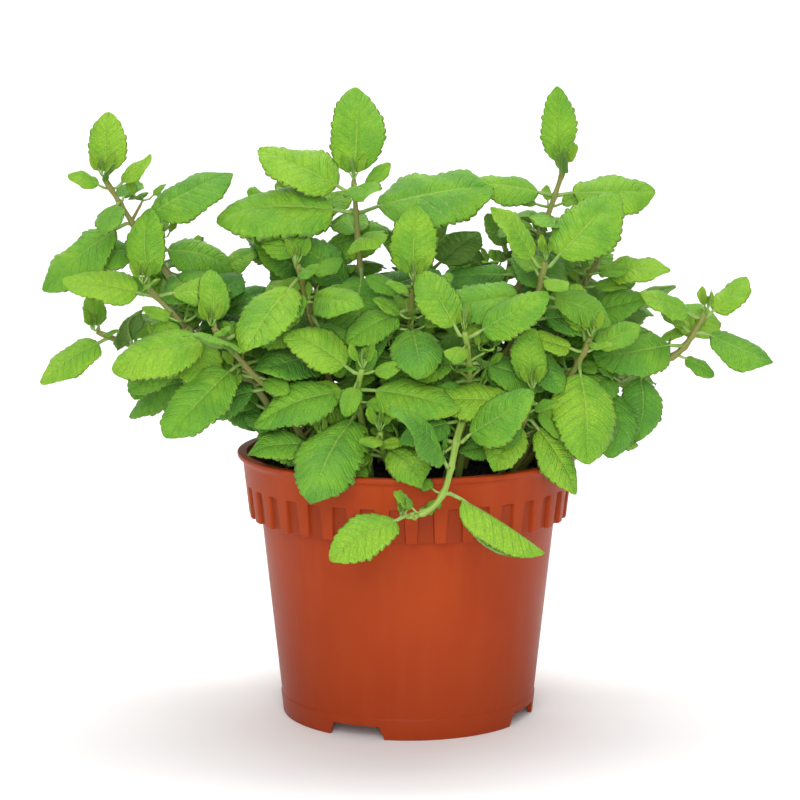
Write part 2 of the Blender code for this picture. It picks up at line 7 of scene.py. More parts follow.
# %% Load the frame
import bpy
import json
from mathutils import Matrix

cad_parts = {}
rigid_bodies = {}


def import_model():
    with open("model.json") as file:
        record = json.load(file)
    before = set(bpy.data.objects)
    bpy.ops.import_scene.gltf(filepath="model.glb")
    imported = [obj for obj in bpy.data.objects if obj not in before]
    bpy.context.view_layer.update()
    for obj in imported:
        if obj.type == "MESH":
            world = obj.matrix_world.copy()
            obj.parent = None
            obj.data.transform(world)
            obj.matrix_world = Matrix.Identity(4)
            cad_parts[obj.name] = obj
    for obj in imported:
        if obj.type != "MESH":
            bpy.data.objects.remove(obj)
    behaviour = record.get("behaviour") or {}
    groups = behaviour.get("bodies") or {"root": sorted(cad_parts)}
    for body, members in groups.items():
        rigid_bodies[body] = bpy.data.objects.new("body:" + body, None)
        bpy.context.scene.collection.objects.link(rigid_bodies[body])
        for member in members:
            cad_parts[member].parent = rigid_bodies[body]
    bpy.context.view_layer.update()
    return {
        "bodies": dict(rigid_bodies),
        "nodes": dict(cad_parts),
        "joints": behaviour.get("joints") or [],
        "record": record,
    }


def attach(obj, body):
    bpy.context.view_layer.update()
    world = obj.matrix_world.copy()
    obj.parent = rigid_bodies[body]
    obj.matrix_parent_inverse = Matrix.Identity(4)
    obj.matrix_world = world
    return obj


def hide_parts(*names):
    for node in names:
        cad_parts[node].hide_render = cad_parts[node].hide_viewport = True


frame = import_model()
print("CAD nodes:", len(frame["nodes"]))

# %% [markdown]
# The rest of the tools are Blender's own and numpy. Lengths are easier to read in millimetres, so MM
# turns them into metres. A piece made here takes the place of one or more CAD nodes, rides on the only
# body, which is called root, and wears the finishes it is given.

# %% Tools and the helper that makes a piece
import json
import math
import random

import bmesh
import bpy
import numpy as np
from mathutils import Matrix, Vector, noise
from mathutils.bvhtree import BVHTree

MM = 0.001


def make_piece(name, points, faces, finishes, slot, nodes):
    """A smooth-shaded mesh object that stands for CAD nodes."""
    mesh = bpy.data.meshes.new(name)
    mesh.from_pydata(points, [], faces)
    for finish in finishes:
        mesh.materials.append(finish)
    mesh.shade_smooth()
    piece = bpy.data.objects.new(name, mesh)
    bpy.context.scene.collection.objects.link(piece)
    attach(piece, "root")
    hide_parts(*nodes)
    return piece


def carry(mesh, name, kind, values):
    """Stores a value at each point of a mesh."""
    field = {"FLOAT": "value", "FLOAT_VECTOR": "vector"}[kind]
    made = mesh.attributes.new(name, kind, "POINT")
    made.data.foreach_set(field, np.ascontiguousarray(values, dtype=np.float32).ravel())


# %% [markdown]
# A finish is a small network of nodes, and building it node by node in the interface is slow. A few
# helpers write the same network in code. `add_node` adds any node and feeds its inputs, and the others
# use it for the steps that come up again and again. A value that never changes over a surface is typed
# straight into the shader.

# %% Helpers for finishes
def new_finish(name):
    """A new material: its node tree and its main shader."""
    finish = bpy.data.materials.new(name)
    finish.use_nodes = True
    return finish, finish.node_tree, finish.node_tree.nodes["Principled BSDF"]


def add_node(tree, kind, feeds=None, **settings):
    """A node, with its inputs fed by values or by other nodes' outputs."""
    made = tree.nodes.new(kind)
    for setting, value in settings.items():
        setattr(made, setting, value)
    for socket, value in (feeds or {}).items():
        if isinstance(value, bpy.types.NodeSocket):
            tree.links.new(value, made.inputs[socket])
        else:
            made.inputs[socket].default_value = value
    return made


def sums(tree, operation, *values):
    """Plain arithmetic on one or two values."""
    return add_node(tree, "ShaderNodeMath", dict(enumerate(values)), operation=operation).outputs[0]


def blend_colours(tree, share, first, second):
    """The first colour where the share is 0, and the second where it is 1."""
    feeds = {0: share, 6: first, 7: second}
    return add_node(tree, "ShaderNodeMix", feeds, data_type="RGBA").outputs[2]


print("materials so far:", len(bpy.data.materials))

# %% [markdown]
# Four more helpers make the things that vary over a surface: a soft step, a cloud of noise, a value that
# the mesh carries, and a colour ramp.

# %% Helpers for what varies
def fade(tree, value, start, end, low=0.0, high=1.0):
    """Follows a value from start to end as a soft step from low to high."""
    feeds = {"Value": value, 1: start, 2: end, 3: low, 4: high}
    return add_node(tree, "ShaderNodeMapRange", feeds, interpolation_type="SMOOTHSTEP").outputs[0]


def cloud(tree, place, scale, detail=3.0, roughness=0.55):
    """Soft noise over a place, with values near a half."""
    feeds = {"Vector": place, "Scale": scale, "Detail": detail, "Roughness": roughness}
    return add_node(tree, "ShaderNodeTexNoise", feeds).outputs[0]


def stored(tree, name, output):
    """A value that the mesh carries at each of its points."""
    return add_node(tree, "ShaderNodeAttribute", attribute_name=name).outputs[output]


def ramp(tree, value, stops):
    """A colour ramp from (place, colour) stops."""
    made = add_node(tree, "ShaderNodeValToRGB", {0: value})
    while len(made.color_ramp.elements) < len(stops):
        made.color_ramp.elements.new(0.5)
    for element, (place, colour) in zip(made.color_ramp.elements, stops):
        element.position = place
        element.color = (*colour, 1)
    return made.outputs[0]


print("finish helpers:", ", ".join(f.__name__ for f in (add_node, sums, blend_colours, fade, cloud, ramp)))

# %% [markdown]
# ## The pot
# The real pot is injection moulded from terracotta-brown polypropylene: one thin wall, turned about its
# axis, with a rolled lip and a stiffening collar. A lathe profile is the natural start. It could be spun
# with the Screw modifier, but the collar has 36 tapered recesses, and cutting them afterwards leaves
# razor-sharp edges. Here the profile is swept through columns of points that crowd together at each
# recess wall, so the same sweep can press the recesses in with soft moulded edges.

# %% Pot sizes
POT_HEIGHT = 109 * MM
RIM_RADIUS = 70 * MM
COLLAR_TOP_RADIUS = 67.7 * MM
COLLAR_BOTTOM_RADIUS = 65.1 * MM
COLLAR_BOTTOM = 82.4 * MM
BODY_TOP_RADIUS = 60.2 * MM
FOOT_RADIUS = 51.7 * MM
FOOT_LINE = 8.8 * MM
FOOT_RING_WALL = 1.8 * MM
FLOOR_UNDERSIDE = 5.6 * MM
FLOOR_TOP = 7.4 * MM
WALL = 1.7 * MM
LIP_HEIGHT = 1.8 * MM
INNER_LIP_RADIUS = 66.2 * MM
INNER_COLLAR_RADIUS = 62.0 * MM
lip_under = POT_HEIGHT - LIP_HEIGHT
collar_top = lip_under - 1.6 * MM
print("pot", POT_HEIGHT / MM, "mm high,", 2 * RIM_RADIUS / MM, "mm across its rim")

# %% [markdown]
# Each corner of the profile has its own rounding, as the mould's corners do. `softened` swaps a corner
# for a short curve of five points.

# %% The lathe profile with rounded corners
OUTLINE = [
    (0, FLOOR_UNDERSIDE, 0),
    (20 * MM, FLOOR_UNDERSIDE, 0),
    (FOOT_RADIUS - FOOT_RING_WALL, FLOOR_UNDERSIDE, 0.6),
    (FOOT_RADIUS - FOOT_RING_WALL, 0, 0.4),
    (FOOT_RADIUS, 0, 0.5),
    (FOOT_RADIUS + 0.9 * MM, FOOT_LINE - 0.4 * MM, 0.3),
    (FOOT_RADIUS + 0.6 * MM, FOOT_LINE, 0.2),
    (BODY_TOP_RADIUS, COLLAR_BOTTOM, 0.7),
    (COLLAR_BOTTOM_RADIUS, COLLAR_BOTTOM, 0.6),
    (COLLAR_TOP_RADIUS, collar_top, 1.2),
    (RIM_RADIUS - 0.15 * MM, lip_under, 0.6),
    (RIM_RADIUS, POT_HEIGHT, 0.9),
    (INNER_LIP_RADIUS, POT_HEIGHT, 0.8),
    (INNER_COLLAR_RADIUS, COLLAR_BOTTOM + 1 * MM, 1.5),
    (BODY_TOP_RADIUS - WALL, COLLAR_BOTTOM - 2 * MM, 1.5),
    (FOOT_RADIUS + 0.6 * MM - WALL, FLOOR_TOP + 1 * MM, 0.8),
    (FOOT_RADIUS - 0.6 * MM - WALL, FLOOR_TOP, 0.5),
    (20 * MM, FLOOR_TOP, 0),
    (0, FLOOR_TOP, 0),
]


def softened(outline):
    """The outline with its corners rounded by their own radii in millimetres."""
    made = []
    for k, (radius, height, rounding) in enumerate(outline):
        corner = Vector((radius, height))
        if not rounding:
            made.append(corner)
            continue
        before = Vector(outline[k - 1][:2]) - corner
        after = Vector(outline[k + 1][:2]) - corner
        reach = min(rounding * MM, before.length * 0.45, after.length * 0.45)
        start = corner + before.normalized() * reach
        end = corner + after.normalized() * reach
        for step in range(5):
            u = step / 4
            made.append(start * (1 - u) ** 2 + corner * 2 * u * (1 - u) + end * u * u)
    return made


profile = softened(OUTLINE)
print("profile points:", len(profile))

# %% [markdown]
# The recess walls need rows of points just above and below their top edge. `with_rows` adds rows to the
# collar's straight face at chosen heights, without changing its line.

# %% Rows for the recesses
RECESS_COUNT = 36
RECESS_TOP = 96.0 * MM
RECESS_TOP_WIDTH = 5.4 * MM
RECESS_BOTTOM_WIDTH = 6.9 * MM
RECESS_FLOOR_BOTTOM = 63.6 * MM
RECESS_FLOOR_TOP = 65.2 * MM
RECESS_FIRST_ANGLE = math.radians(-84)


def with_rows(line, heights):
    """Adds points to the outer face of the collar at the given heights."""
    made = []
    for low, high in zip(line, line[1:] + [line[-1]]):
        made.append(low)
        on_collar = low.x > COLLAR_BOTTOM_RADIUS - MM and high.y > low.y + 5 * MM
        if on_collar:
            for height in heights:
                if low.y < height < high.y:
                    made.append(low.lerp(high, (height - low.y) / (high.y - low.y)))
    return made


row_heights = [RECESS_TOP + d * MM for d in (-9, -5, -2, -0.9, -0.45, -0.2, -0.05, 0.08, 0.2, 0.5, 1.2)]
profile = with_rows(profile, row_heights)
print("rows:", len(profile))

# %% [markdown]
# The recesses widen downwards. `recess_columns` says where the columns of points stand at a height, and
# how deep each one lies, from 0 on the rib to 1 on the recess floor. Near a wall the depth changes over
# about a third of a millimetre, which reads as a crisp but moulded edge.

# %% Press the recesses in
# (millimetres from the wall, depth share)
EDGE_STEPS = [(-0.5, 1.0), (-0.14, 0.98), (-0.02, 0.8), (0.06, 0.22), (0.2, 0.04), (0.6, 0.0)]
RECESS_MIDDLE_RADIUS = 66 * MM  # turns a width into an angle


def recess_half_width(height):
    """Half the width of a recess at a height."""
    share = (height - COLLAR_BOTTOM) / (RECESS_TOP - COLLAR_BOTTOM)
    share = min(1.0, max(0.0, share))
    return 0.5 * (RECESS_BOTTOM_WIDTH + (RECESS_TOP_WIDTH - RECESS_BOTTOM_WIDTH) * share)


def recess_columns(height):
    """(angle within one recess period, depth share) of each column at a height."""
    half = recess_half_width(height)
    right = [((half + d * MM) / RECESS_MIDDLE_RADIUS, share) for d, share in EDGE_STEPS]
    left = [(-angle, share) for angle, share in reversed(right)]
    return left + [(0.0, 1.0)] + right + [(math.pi / RECESS_COUNT, 0.0)]


def pressed_radius(radius, height, share):
    """Radius of a point on the outer face once a recess has been pressed in."""
    top = 1 - min(1.0, max(0.0, (height - RECESS_TOP + 0.12 * MM) / (0.24 * MM)))
    if radius <= BODY_TOP_RADIUS or height < COLLAR_BOTTOM - 0.1 * MM:
        return radius
    climb = (height - COLLAR_BOTTOM) / (collar_top - COLLAR_BOTTOM)
    face = COLLAR_BOTTOM_RADIUS + (COLLAR_TOP_RADIUS - COLLAR_BOTTOM_RADIUS) * climb
    climb = (height - COLLAR_BOTTOM) / (RECESS_TOP - COLLAR_BOTTOM)
    floor = RECESS_FLOOR_BOTTOM + (RECESS_FLOOR_TOP - RECESS_FLOOR_BOTTOM) * climb
    scale = (floor - BODY_TOP_RADIUS) / (face - BODY_TOP_RADIUS)
    pressed = BODY_TOP_RADIUS + (radius - BODY_TOP_RADIUS) * scale
    return radius + (pressed - radius) * share * top


def pot_points():
    """Rows of points round the pot. The first and last rows are single points on the axis."""
    rim_row = max(range(len(profile)), key=lambda k: profile[k].x)
    rows = []
    for k, (radius, height) in enumerate(profile[1:-1], 1):
        row = []
        for turn in range(RECESS_COUNT):
            centre = RECESS_FIRST_ANGLE + 2 * math.pi * turn / RECESS_COUNT
            for angle, share in recess_columns(height):
                here = pressed_radius(radius, height, share) if k < rim_row else radius
                row.append((here * math.cos(centre + angle), here * math.sin(centre + angle), height))
        rows.append(row)
    return rows


rows = pot_points()
print(len(rows), "rows of", len(rows[0]), "points")

# %% [markdown]
# The rows are joined with four-sided faces, and each end is closed with a fan round the axis.

# %% Join the pot's rows
def joined_rows(rows, first, last):
    """Points and faces of closed rings of points, with a point on the axis at each end."""
    count = len(rows[0])
    points = [p for row in rows for p in row]
    faces = []
    for r in range(len(rows) - 1):
        low, high = r * count, (r + 1) * count
        faces += [(low + k, low + (k + 1) % count, high + (k + 1) % count, high + k) for k in range(count)]
    points += [first, last]
    top = (len(rows) - 1) * count
    faces += [((k + 1) % count, k, len(points) - 2) for k in range(count)]
    faces += [(top + k, top + (k + 1) % count, len(points) - 1) for k in range(count)]
    return points, faces


pot_mesh = joined_rows(rows, (0, 0, profile[0].y), (0, 0, profile[-1].y))
print("pot faces:", len(pot_mesh[1]))

# %% [markdown]
# ### Pot finish
# Moulded polypropylene is one colour right through, but it never looks flat: the melt leaves faint flow
# marks up the wall, handling dulls some patches, and fine scratches catch the light. The colour, the
# gloss and a very shallow bump each follow their own noise. The gloss is broad, like satin. The recesses
# get painted shade, a darker colour that stands in for their shadow, and the mesh carries how much at
# each point. The colour also darkens towards the foot, which is painted shade too.

# %% Finish of the pot
pot_finish, tree, shader = new_finish("terracotta_plastic")
place = add_node(tree, "ShaderNodeTexCoord").outputs["Object"]
stretched = add_node(tree, "ShaderNodeMapping", {"Vector": place, "Scale": (1, 1, 0.12)}).outputs[0]
flow = cloud(tree, stretched, 130, 4, 0.6)
patches = cloud(tree, place, 28, 3, 0.5)
scuffs = cloud(tree, place, 900, 4, 0.7)
warm = blend_colours(tree, fade(tree, patches, 0.35, 0.7), (0.32, 0.039, 0.007, 1), (0.365, 0.05, 0.009, 1))
streaked = blend_colours(tree, fade(tree, flow, 0.42, 0.75, 0, 0.35), warm, (0.39, 0.06, 0.012, 1))
dust = sums(tree, "MULTIPLY", fade(tree, scuffs, 0.62, 0.8), 0.22)
dusted = blend_colours(tree, dust, streaked, (0.44, 0.1, 0.04, 1))
# painted shade: the recesses darken by the share that the mesh carries, varied by patches
recess_shade_share = sums(tree, "MULTIPLY", stored(tree, "painted_recess_shade", "Fac"), fade(tree, patches, 0.2, 0.8, 0.15, 0.42))
climb = add_node(tree, "ShaderNodeSeparateXYZ", {0: place}).outputs[2]
# painted shade: the colour darkens towards the foot
foot_shade = sums(tree, "ADD", fade(tree, climb, 0.0, 0.075, 0.5, 0.0), fade(tree, patches, 0.3, 0.7, -0.06, 0.06))
foot_shaded = blend_colours(tree, foot_shade, dusted, (0.22, 0.026, 0.006, 1))
# the dark red laid over the colour here is painted shade for the recesses
tree.links.new(blend_colours(tree, recess_shade_share, foot_shaded, (0.12, 0.022, 0.01, 1)), shader.inputs["Base Color"])
dulled = sums(tree, "ADD", fade(tree, patches, 0.3, 0.75, 0.36, 0.46), fade(tree, scuffs, 0.5, 0.8, 0, 0.12))
tree.links.new(dulled, shader.inputs["Roughness"])
relief = sums(tree, "ADD", sums(tree, "MULTIPLY", flow, 0.6), sums(tree, "MULTIPLY", scuffs, 0.4))
bump = add_node(tree, "ShaderNodeBump", {"Strength": 0.16, "Distance": 0.0002, "Height": relief})
tree.links.new(bump.outputs[0], shader.inputs["Normal"])
shader.inputs["Specular IOR Level"].default_value = 0.1
shader.inputs["IOR"].default_value = 1.49
print("finish:", pot_finish.name)

# %% [markdown]
# ### Notches and drain holes
# Water leaves through five holes in the floor and runs out through four notches in the foot ring. These
# are plain cuts, so a Boolean does them: one mesh holds all nine cutters.

# %% Cutters for the notches and drain holes
NOTCH_ANGLES = [math.radians(a) for a in (-114, -24, 66, 156)]
NOTCH_BOTTOM_WIDTH = 25 * MM
NOTCH_TOP_WIDTH = 20 * MM
DRAIN_RADIUS = 3.5 * MM
DRAIN_RING_RADIUS = 34 * MM
DRAIN_RING_COUNT = 4
SHARP_FROM = math.radians(32)  # edges that turn more than this are shaded sharp


def notch_cutter(bm, angle):
    """A block that is wider at its foot, set across the foot ring."""
    out = Vector((math.cos(angle), math.sin(angle), 0))
    across = Vector((-math.sin(angle), math.cos(angle), 0))
    for vert in bmesh.ops.create_cube(bm, size=1)["verts"]:
        top = vert.co.z > 0
        width = (NOTCH_TOP_WIDTH if top else NOTCH_BOTTOM_WIDTH) * vert.co.y
        height = FLOOR_UNDERSIDE - 0.2 * MM if top else -1 * MM
        vert.co = out * (FOOT_RADIUS + 12 * MM * vert.co.x) + across * width + Vector((0, 0, height))


def drain_cutter(bm, x, y):
    """A short rod through the floor."""
    made = bmesh.ops.create_cone(
        bm, cap_ends=True, segments=40, radius1=DRAIN_RADIUS, radius2=DRAIN_RADIUS, depth=6 * MM)
    bmesh.ops.translate(bm, verts=made["verts"], vec=(x, y, (FLOOR_TOP + FLOOR_UNDERSIDE) / 2))


print(len(NOTCH_ANGLES), "notches and", 1 + DRAIN_RING_COUNT, "drain holes")

# %% [markdown]
# The cutters are one mesh that never stays in the scene. `new_from_object` gives the pot's mesh as the
# modifier leaves it, so the modifier and the cutters can go.

# %% Cut the pot
bm = bmesh.new()
for angle in NOTCH_ANGLES:
    notch_cutter(bm, angle)
drain_cutter(bm, 0, 0)
for k in range(DRAIN_RING_COUNT):
    turn = math.radians(45 + 90 * k)
    drain_cutter(bm, DRAIN_RING_RADIUS * math.cos(turn), DRAIN_RING_RADIUS * math.sin(turn))
cutter_mesh = bpy.data.meshes.new("pot_cutters")
bm.to_mesh(cutter_mesh)
bm.free()
cutter = bpy.data.objects.new("pot_cutters", cutter_mesh)
bpy.context.scene.collection.objects.link(cutter)
pot = make_piece("nursery_pot", *pot_mesh, [pot_finish], "pot_plastic", ["pot"])
cut = pot.modifiers.new("cut", "BOOLEAN")
cut.operation = "DIFFERENCE"
cut.solver = "EXACT"
cut.object = cutter
carved = bpy.data.meshes.new_from_object(pot.evaluated_get(bpy.context.evaluated_depsgraph_get()))
pot.modifiers.clear()
pot.data = carved
carved.set_sharp_from_angle(angle=SHARP_FROM)
bpy.data.objects.remove(cutter)
print("pot faces after cutting:", len(pot.data.polygons))

# %% [markdown]
# The recesses get painted shade: a darker colour where their shadow falls. It could be painted by hand in
# vertex paint, but the depth of a recess is known from the profile, so each point can work out its own
# share of painted shade.

# %% Painted shade in the recesses
# depth behind the collar's face at which the painted shade in a recess is full
FULL_SHADE_DEPTH = 1.2 * MM
SHADE_ENDS = 0.62  # share of the collar's height where the recesses end


def painted_recess_shade(point):
    """How much painted shade a point of the pot gets, from its depth behind the collar's face."""
    radius, height = point.xy.length, point.z
    climb = (height - COLLAR_BOTTOM) / (collar_top - COLLAR_BOTTOM)
    face = COLLAR_BOTTOM_RADIUS + (COLLAR_TOP_RADIUS - COLLAR_BOTTOM_RADIUS) * climb
    if -0.01 < climb < SHADE_ENDS and radius > BODY_TOP_RADIUS:
        return min(1.0, max(0.0, (face - radius) / FULL_SHADE_DEPTH))
    return 0.0


# painted shade: each point's share of the darkening in the recesses
shade_shares = [painted_recess_shade(vert.co) for vert in carved.vertices]
carry(carved, "painted_recess_shade", "FLOAT", shade_shares)
# counts the points of the pot that get painted shade in the recesses
print("points of the pot that hold dust:", sum(share > 0 for share in shade_shares))

# %% [markdown]
# ## The soil
# The pot is filled with dark, moist peat to 9 mm below the rim. Its top is a field of crumbs and fibres,
# and only glimpses of it show between the lower leaves. It could be one plane with a bump, but from above
# that looks painted on. A plug with an uneven top, covered with several hundred small crumbs and some
# root fibres, gives real shadows.

# %% Height of the soil
SOIL_EDGE = 100 * MM
SOIL_CROWN = 101.5 * MM
SOIL_SHOULDER = 0.4 * MM
GAP = 0.3 * MM


def soil_radius():
    """Radius of the soil's edge, just inside the sloping wall."""
    slope = (INNER_LIP_RADIUS - INNER_COLLAR_RADIUS) / (POT_HEIGHT - 0.8 * MM - COLLAR_BOTTOM - MM)
    return INNER_COLLAR_RADIUS + slope * (SOIL_EDGE - COLLAR_BOTTOM - MM) - GAP - 0.2 * MM


def soil_height(radius):
    """Height of the soil's top at a distance from the middle."""
    half = soil_radius() / 2
    shoulder = SOIL_CROWN - SOIL_SHOULDER
    if radius < half:
        return SOIL_CROWN - SOIL_SHOULDER * radius / half
    return shoulder - (shoulder - SOIL_EDGE) * (radius - half) / half


def lumpy(x, y):
    """Height of the uneven soil at a place."""
    place = Vector((x, y, 0))
    radius = min(place.length, soil_radius())
    rough = noise.noise(place * 95) * 1.1 + noise.noise(place * 260) * 0.8 + noise.noise(place * 700) * 0.45
    settle = 1 - 0.5 * (radius / soil_radius()) ** 6
    return soil_height(radius) + rough * settle * MM


print("the soil's edge is", round(2 * soil_radius() / MM, 1), "mm across")

# %% [markdown]
# The plug follows the inside of the pot with a hair's gap. Its wall needs only five rings, and its top
# has 56, close enough to carry the lumps.

# %% Rings of the plug
SOIL_TURNS = 150
TOP_RINGS = 56
soil_rows = []
side = [
    (FOOT_RADIUS - 0.6 * MM - WALL - GAP, FLOOR_TOP + GAP),
    (FOOT_RADIUS + 0.6 * MM - WALL - GAP, FLOOR_TOP + MM + GAP),
    (BODY_TOP_RADIUS - WALL - GAP, COLLAR_BOTTOM - 2 * MM),
    (INNER_COLLAR_RADIUS - GAP, COLLAR_BOTTOM + MM),
    (soil_radius(), SOIL_EDGE - 1.4 * MM),
]
turns = [2 * math.pi * k / SOIL_TURNS for k in range(SOIL_TURNS)]
for radius, height in side:
    soil_rows.append([(radius * math.cos(t), radius * math.sin(t), height) for t in turns])
for share in np.linspace(0.995, 0.02, TOP_RINGS):
    radius = soil_radius() * share
    ring = [(radius * math.cos(t), radius * math.sin(t)) for t in turns]
    soil_rows.append([(x, y, lumpy(x, y)) for x, y in ring])
soil_mesh = joined_rows(soil_rows, (0, 0, FLOOR_TOP + GAP), (0, 0, lumpy(0, 0)))
print("soil rows:", len(soil_rows))

# %% [markdown]
# Crumbs are small squashed balls with noise on them, and the fibres are thin bent tubes that lie on top.
# All of it is joined to the plug, because it is one material.

# %% One crumb and one fibre
def crumb(bm, chance, x, y, size):
    """One crumb of peat, half sunk in the soil."""
    made = bmesh.ops.create_icosphere(bm, subdivisions=2 if size > 1.2 * MM else 1, radius=1)["verts"]
    turn = Matrix.Rotation(chance.uniform(0, 6.3), 3, "Z") @ Matrix.Rotation(chance.uniform(0, 1), 3, "X")
    stretch = Vector([size * chance.uniform(0.7, 1.25), size, size * chance.uniform(0.55, 0.8)])
    centre = Vector((x, y, lumpy(x, y) + size * 0.25))
    seed = Vector([chance.uniform(0, 50) for _ in range(3)])
    for vert in made:
        bulge = 1 + 0.35 * noise.noise(vert.co * 1.7 + seed)
        vert.co = centre + turn @ (vert.co * bulge * stretch)


def fibre(bm, chance, x, y):
    """A root fibre lying on the soil."""
    turn, bend = chance.uniform(0, 6.3), chance.uniform(-0.5, 0.5)
    length, thick = chance.uniform(5, 14) * MM, chance.uniform(0.12, 0.3) * MM
    rings = []
    for k in range(8):
        way = turn + bend * k / 3
        x += math.cos(way) * length / 8
        y += math.sin(way) * length / 8
        centre = Vector((x, y, lumpy(x, y) + thick + 0.5 * MM * math.sin(math.pi * k / 7)))
        out = Vector((-math.sin(way), math.cos(way), 0))
        up = Vector((0, 0, 1))
        ring = [centre + (out * math.cos(a) + up * math.sin(a)) * thick for a in (0, 2.1, 4.2)]
        rings.append([bm.verts.new(p) for p in ring])
    for low, high in zip(rings, rings[1:]):
        for a in range(3):
            bm.faces.new((low[a], low[(a + 1) % 3], high[(a + 1) % 3], high[a]))
    bm.faces.new(rings[0][::-1])
    bm.faces.new(rings[-1])


print("a crumb lies at", round(lumpy(0, 0) / MM, 1), "mm in the middle of the pot")

# %% [markdown]
# The crumbs and fibres are scattered by chance, but the seed is fixed, so they fall the same way every
# time. The square root keeps them from crowding in the middle, and the cube makes small ones common.

# %% Scatter the crumbs and fibres
CRUMBS = 900
FIBRES = 70
chance = random.Random(11)
bm = bmesh.new()
for _ in range(CRUMBS):
    radius = (soil_radius() - 2.5 * MM) * math.sqrt(chance.random())
    turn = chance.uniform(0, 2 * math.pi)
    size = (0.5 + 1.7 * chance.random() ** 3) * MM
    crumb(bm, chance, radius * math.cos(turn), radius * math.sin(turn), size)
for _ in range(FIBRES):
    radius = (soil_radius() - 16 * MM) * math.sqrt(chance.random())
    turn = chance.uniform(0, 2 * math.pi)
    fibre(bm, chance, radius * math.cos(turn), radius * math.sin(turn))
bm.verts.index_update()
start = len(soil_mesh[0])
soil_points = soil_mesh[0] + [tuple(v.co) for v in bm.verts]
soil_faces = soil_mesh[1] + [tuple(start + v.index for v in f.verts) for f in bm.faces]
bm.free()
print("soil faces with crumbs:", len(soil_faces))

# %% [markdown]
# Moist peat is nearly black, with brown crumbs where it has dried. It is very rough, and tiny damp
# grains still glint, so the roughness varies too.

# %% Finish of the soil
soil_finish, tree, shader = new_finish("moist_peat")
place = add_node(tree, "ShaderNodeTexCoord").outputs["Object"]
grains = cloud(tree, place, 900, 5, 0.7)
patches = cloud(tree, place, 120, 3, 0.6)
dark = ramp(tree, patches, [(0.3, (0.008, 0.006, 0.005)), (0.55, (0.02, 0.013, 0.009)),
                            (0.8, (0.05, 0.031, 0.018))])
speckled = blend_colours(tree, fade(tree, grains, 0.58, 0.75, 0, 0.5), dark, (0.075, 0.05, 0.032, 1))
tree.links.new(speckled, shader.inputs["Base Color"])
tree.links.new(fade(tree, grains, 0.3, 0.6, 0.7, 0.98), shader.inputs["Roughness"])
bump = add_node(tree, "ShaderNodeBump", {"Strength": 0.8, "Distance": 0.0006, "Height": grains})
tree.links.new(bump.outputs[0], shader.inputs["Normal"])
shader.inputs["Specular IOR Level"].default_value = 0.35
make_piece("peat_and_crumbs", soil_points, soil_faces, [soil_finish], "peat_soil", ["soil"])
print("finish:", soil_finish.name)

# %% [markdown]
# ## How the mint grows
# Mint has square stems. Its leaves grow in opposite pairs, and each pair is turned a right angle from
# the last, so the four faces of the stem take turns. The CAD model was grown by a small set of rules
# from a table of shoots, and the same rules run again here, so that the detailed leaves come out exactly
# where the CAD has its simple ones.
#
# A shoot has a name, the points that its stem passes through, and its leaf pairs from the tip down. A
# pair is (distance below the tip, compass angle, (rises), (lengths), sometimes (widths)). A number in
# place of the pairs is the vigour of an ordinary shoot. Lengths here are millimetres.

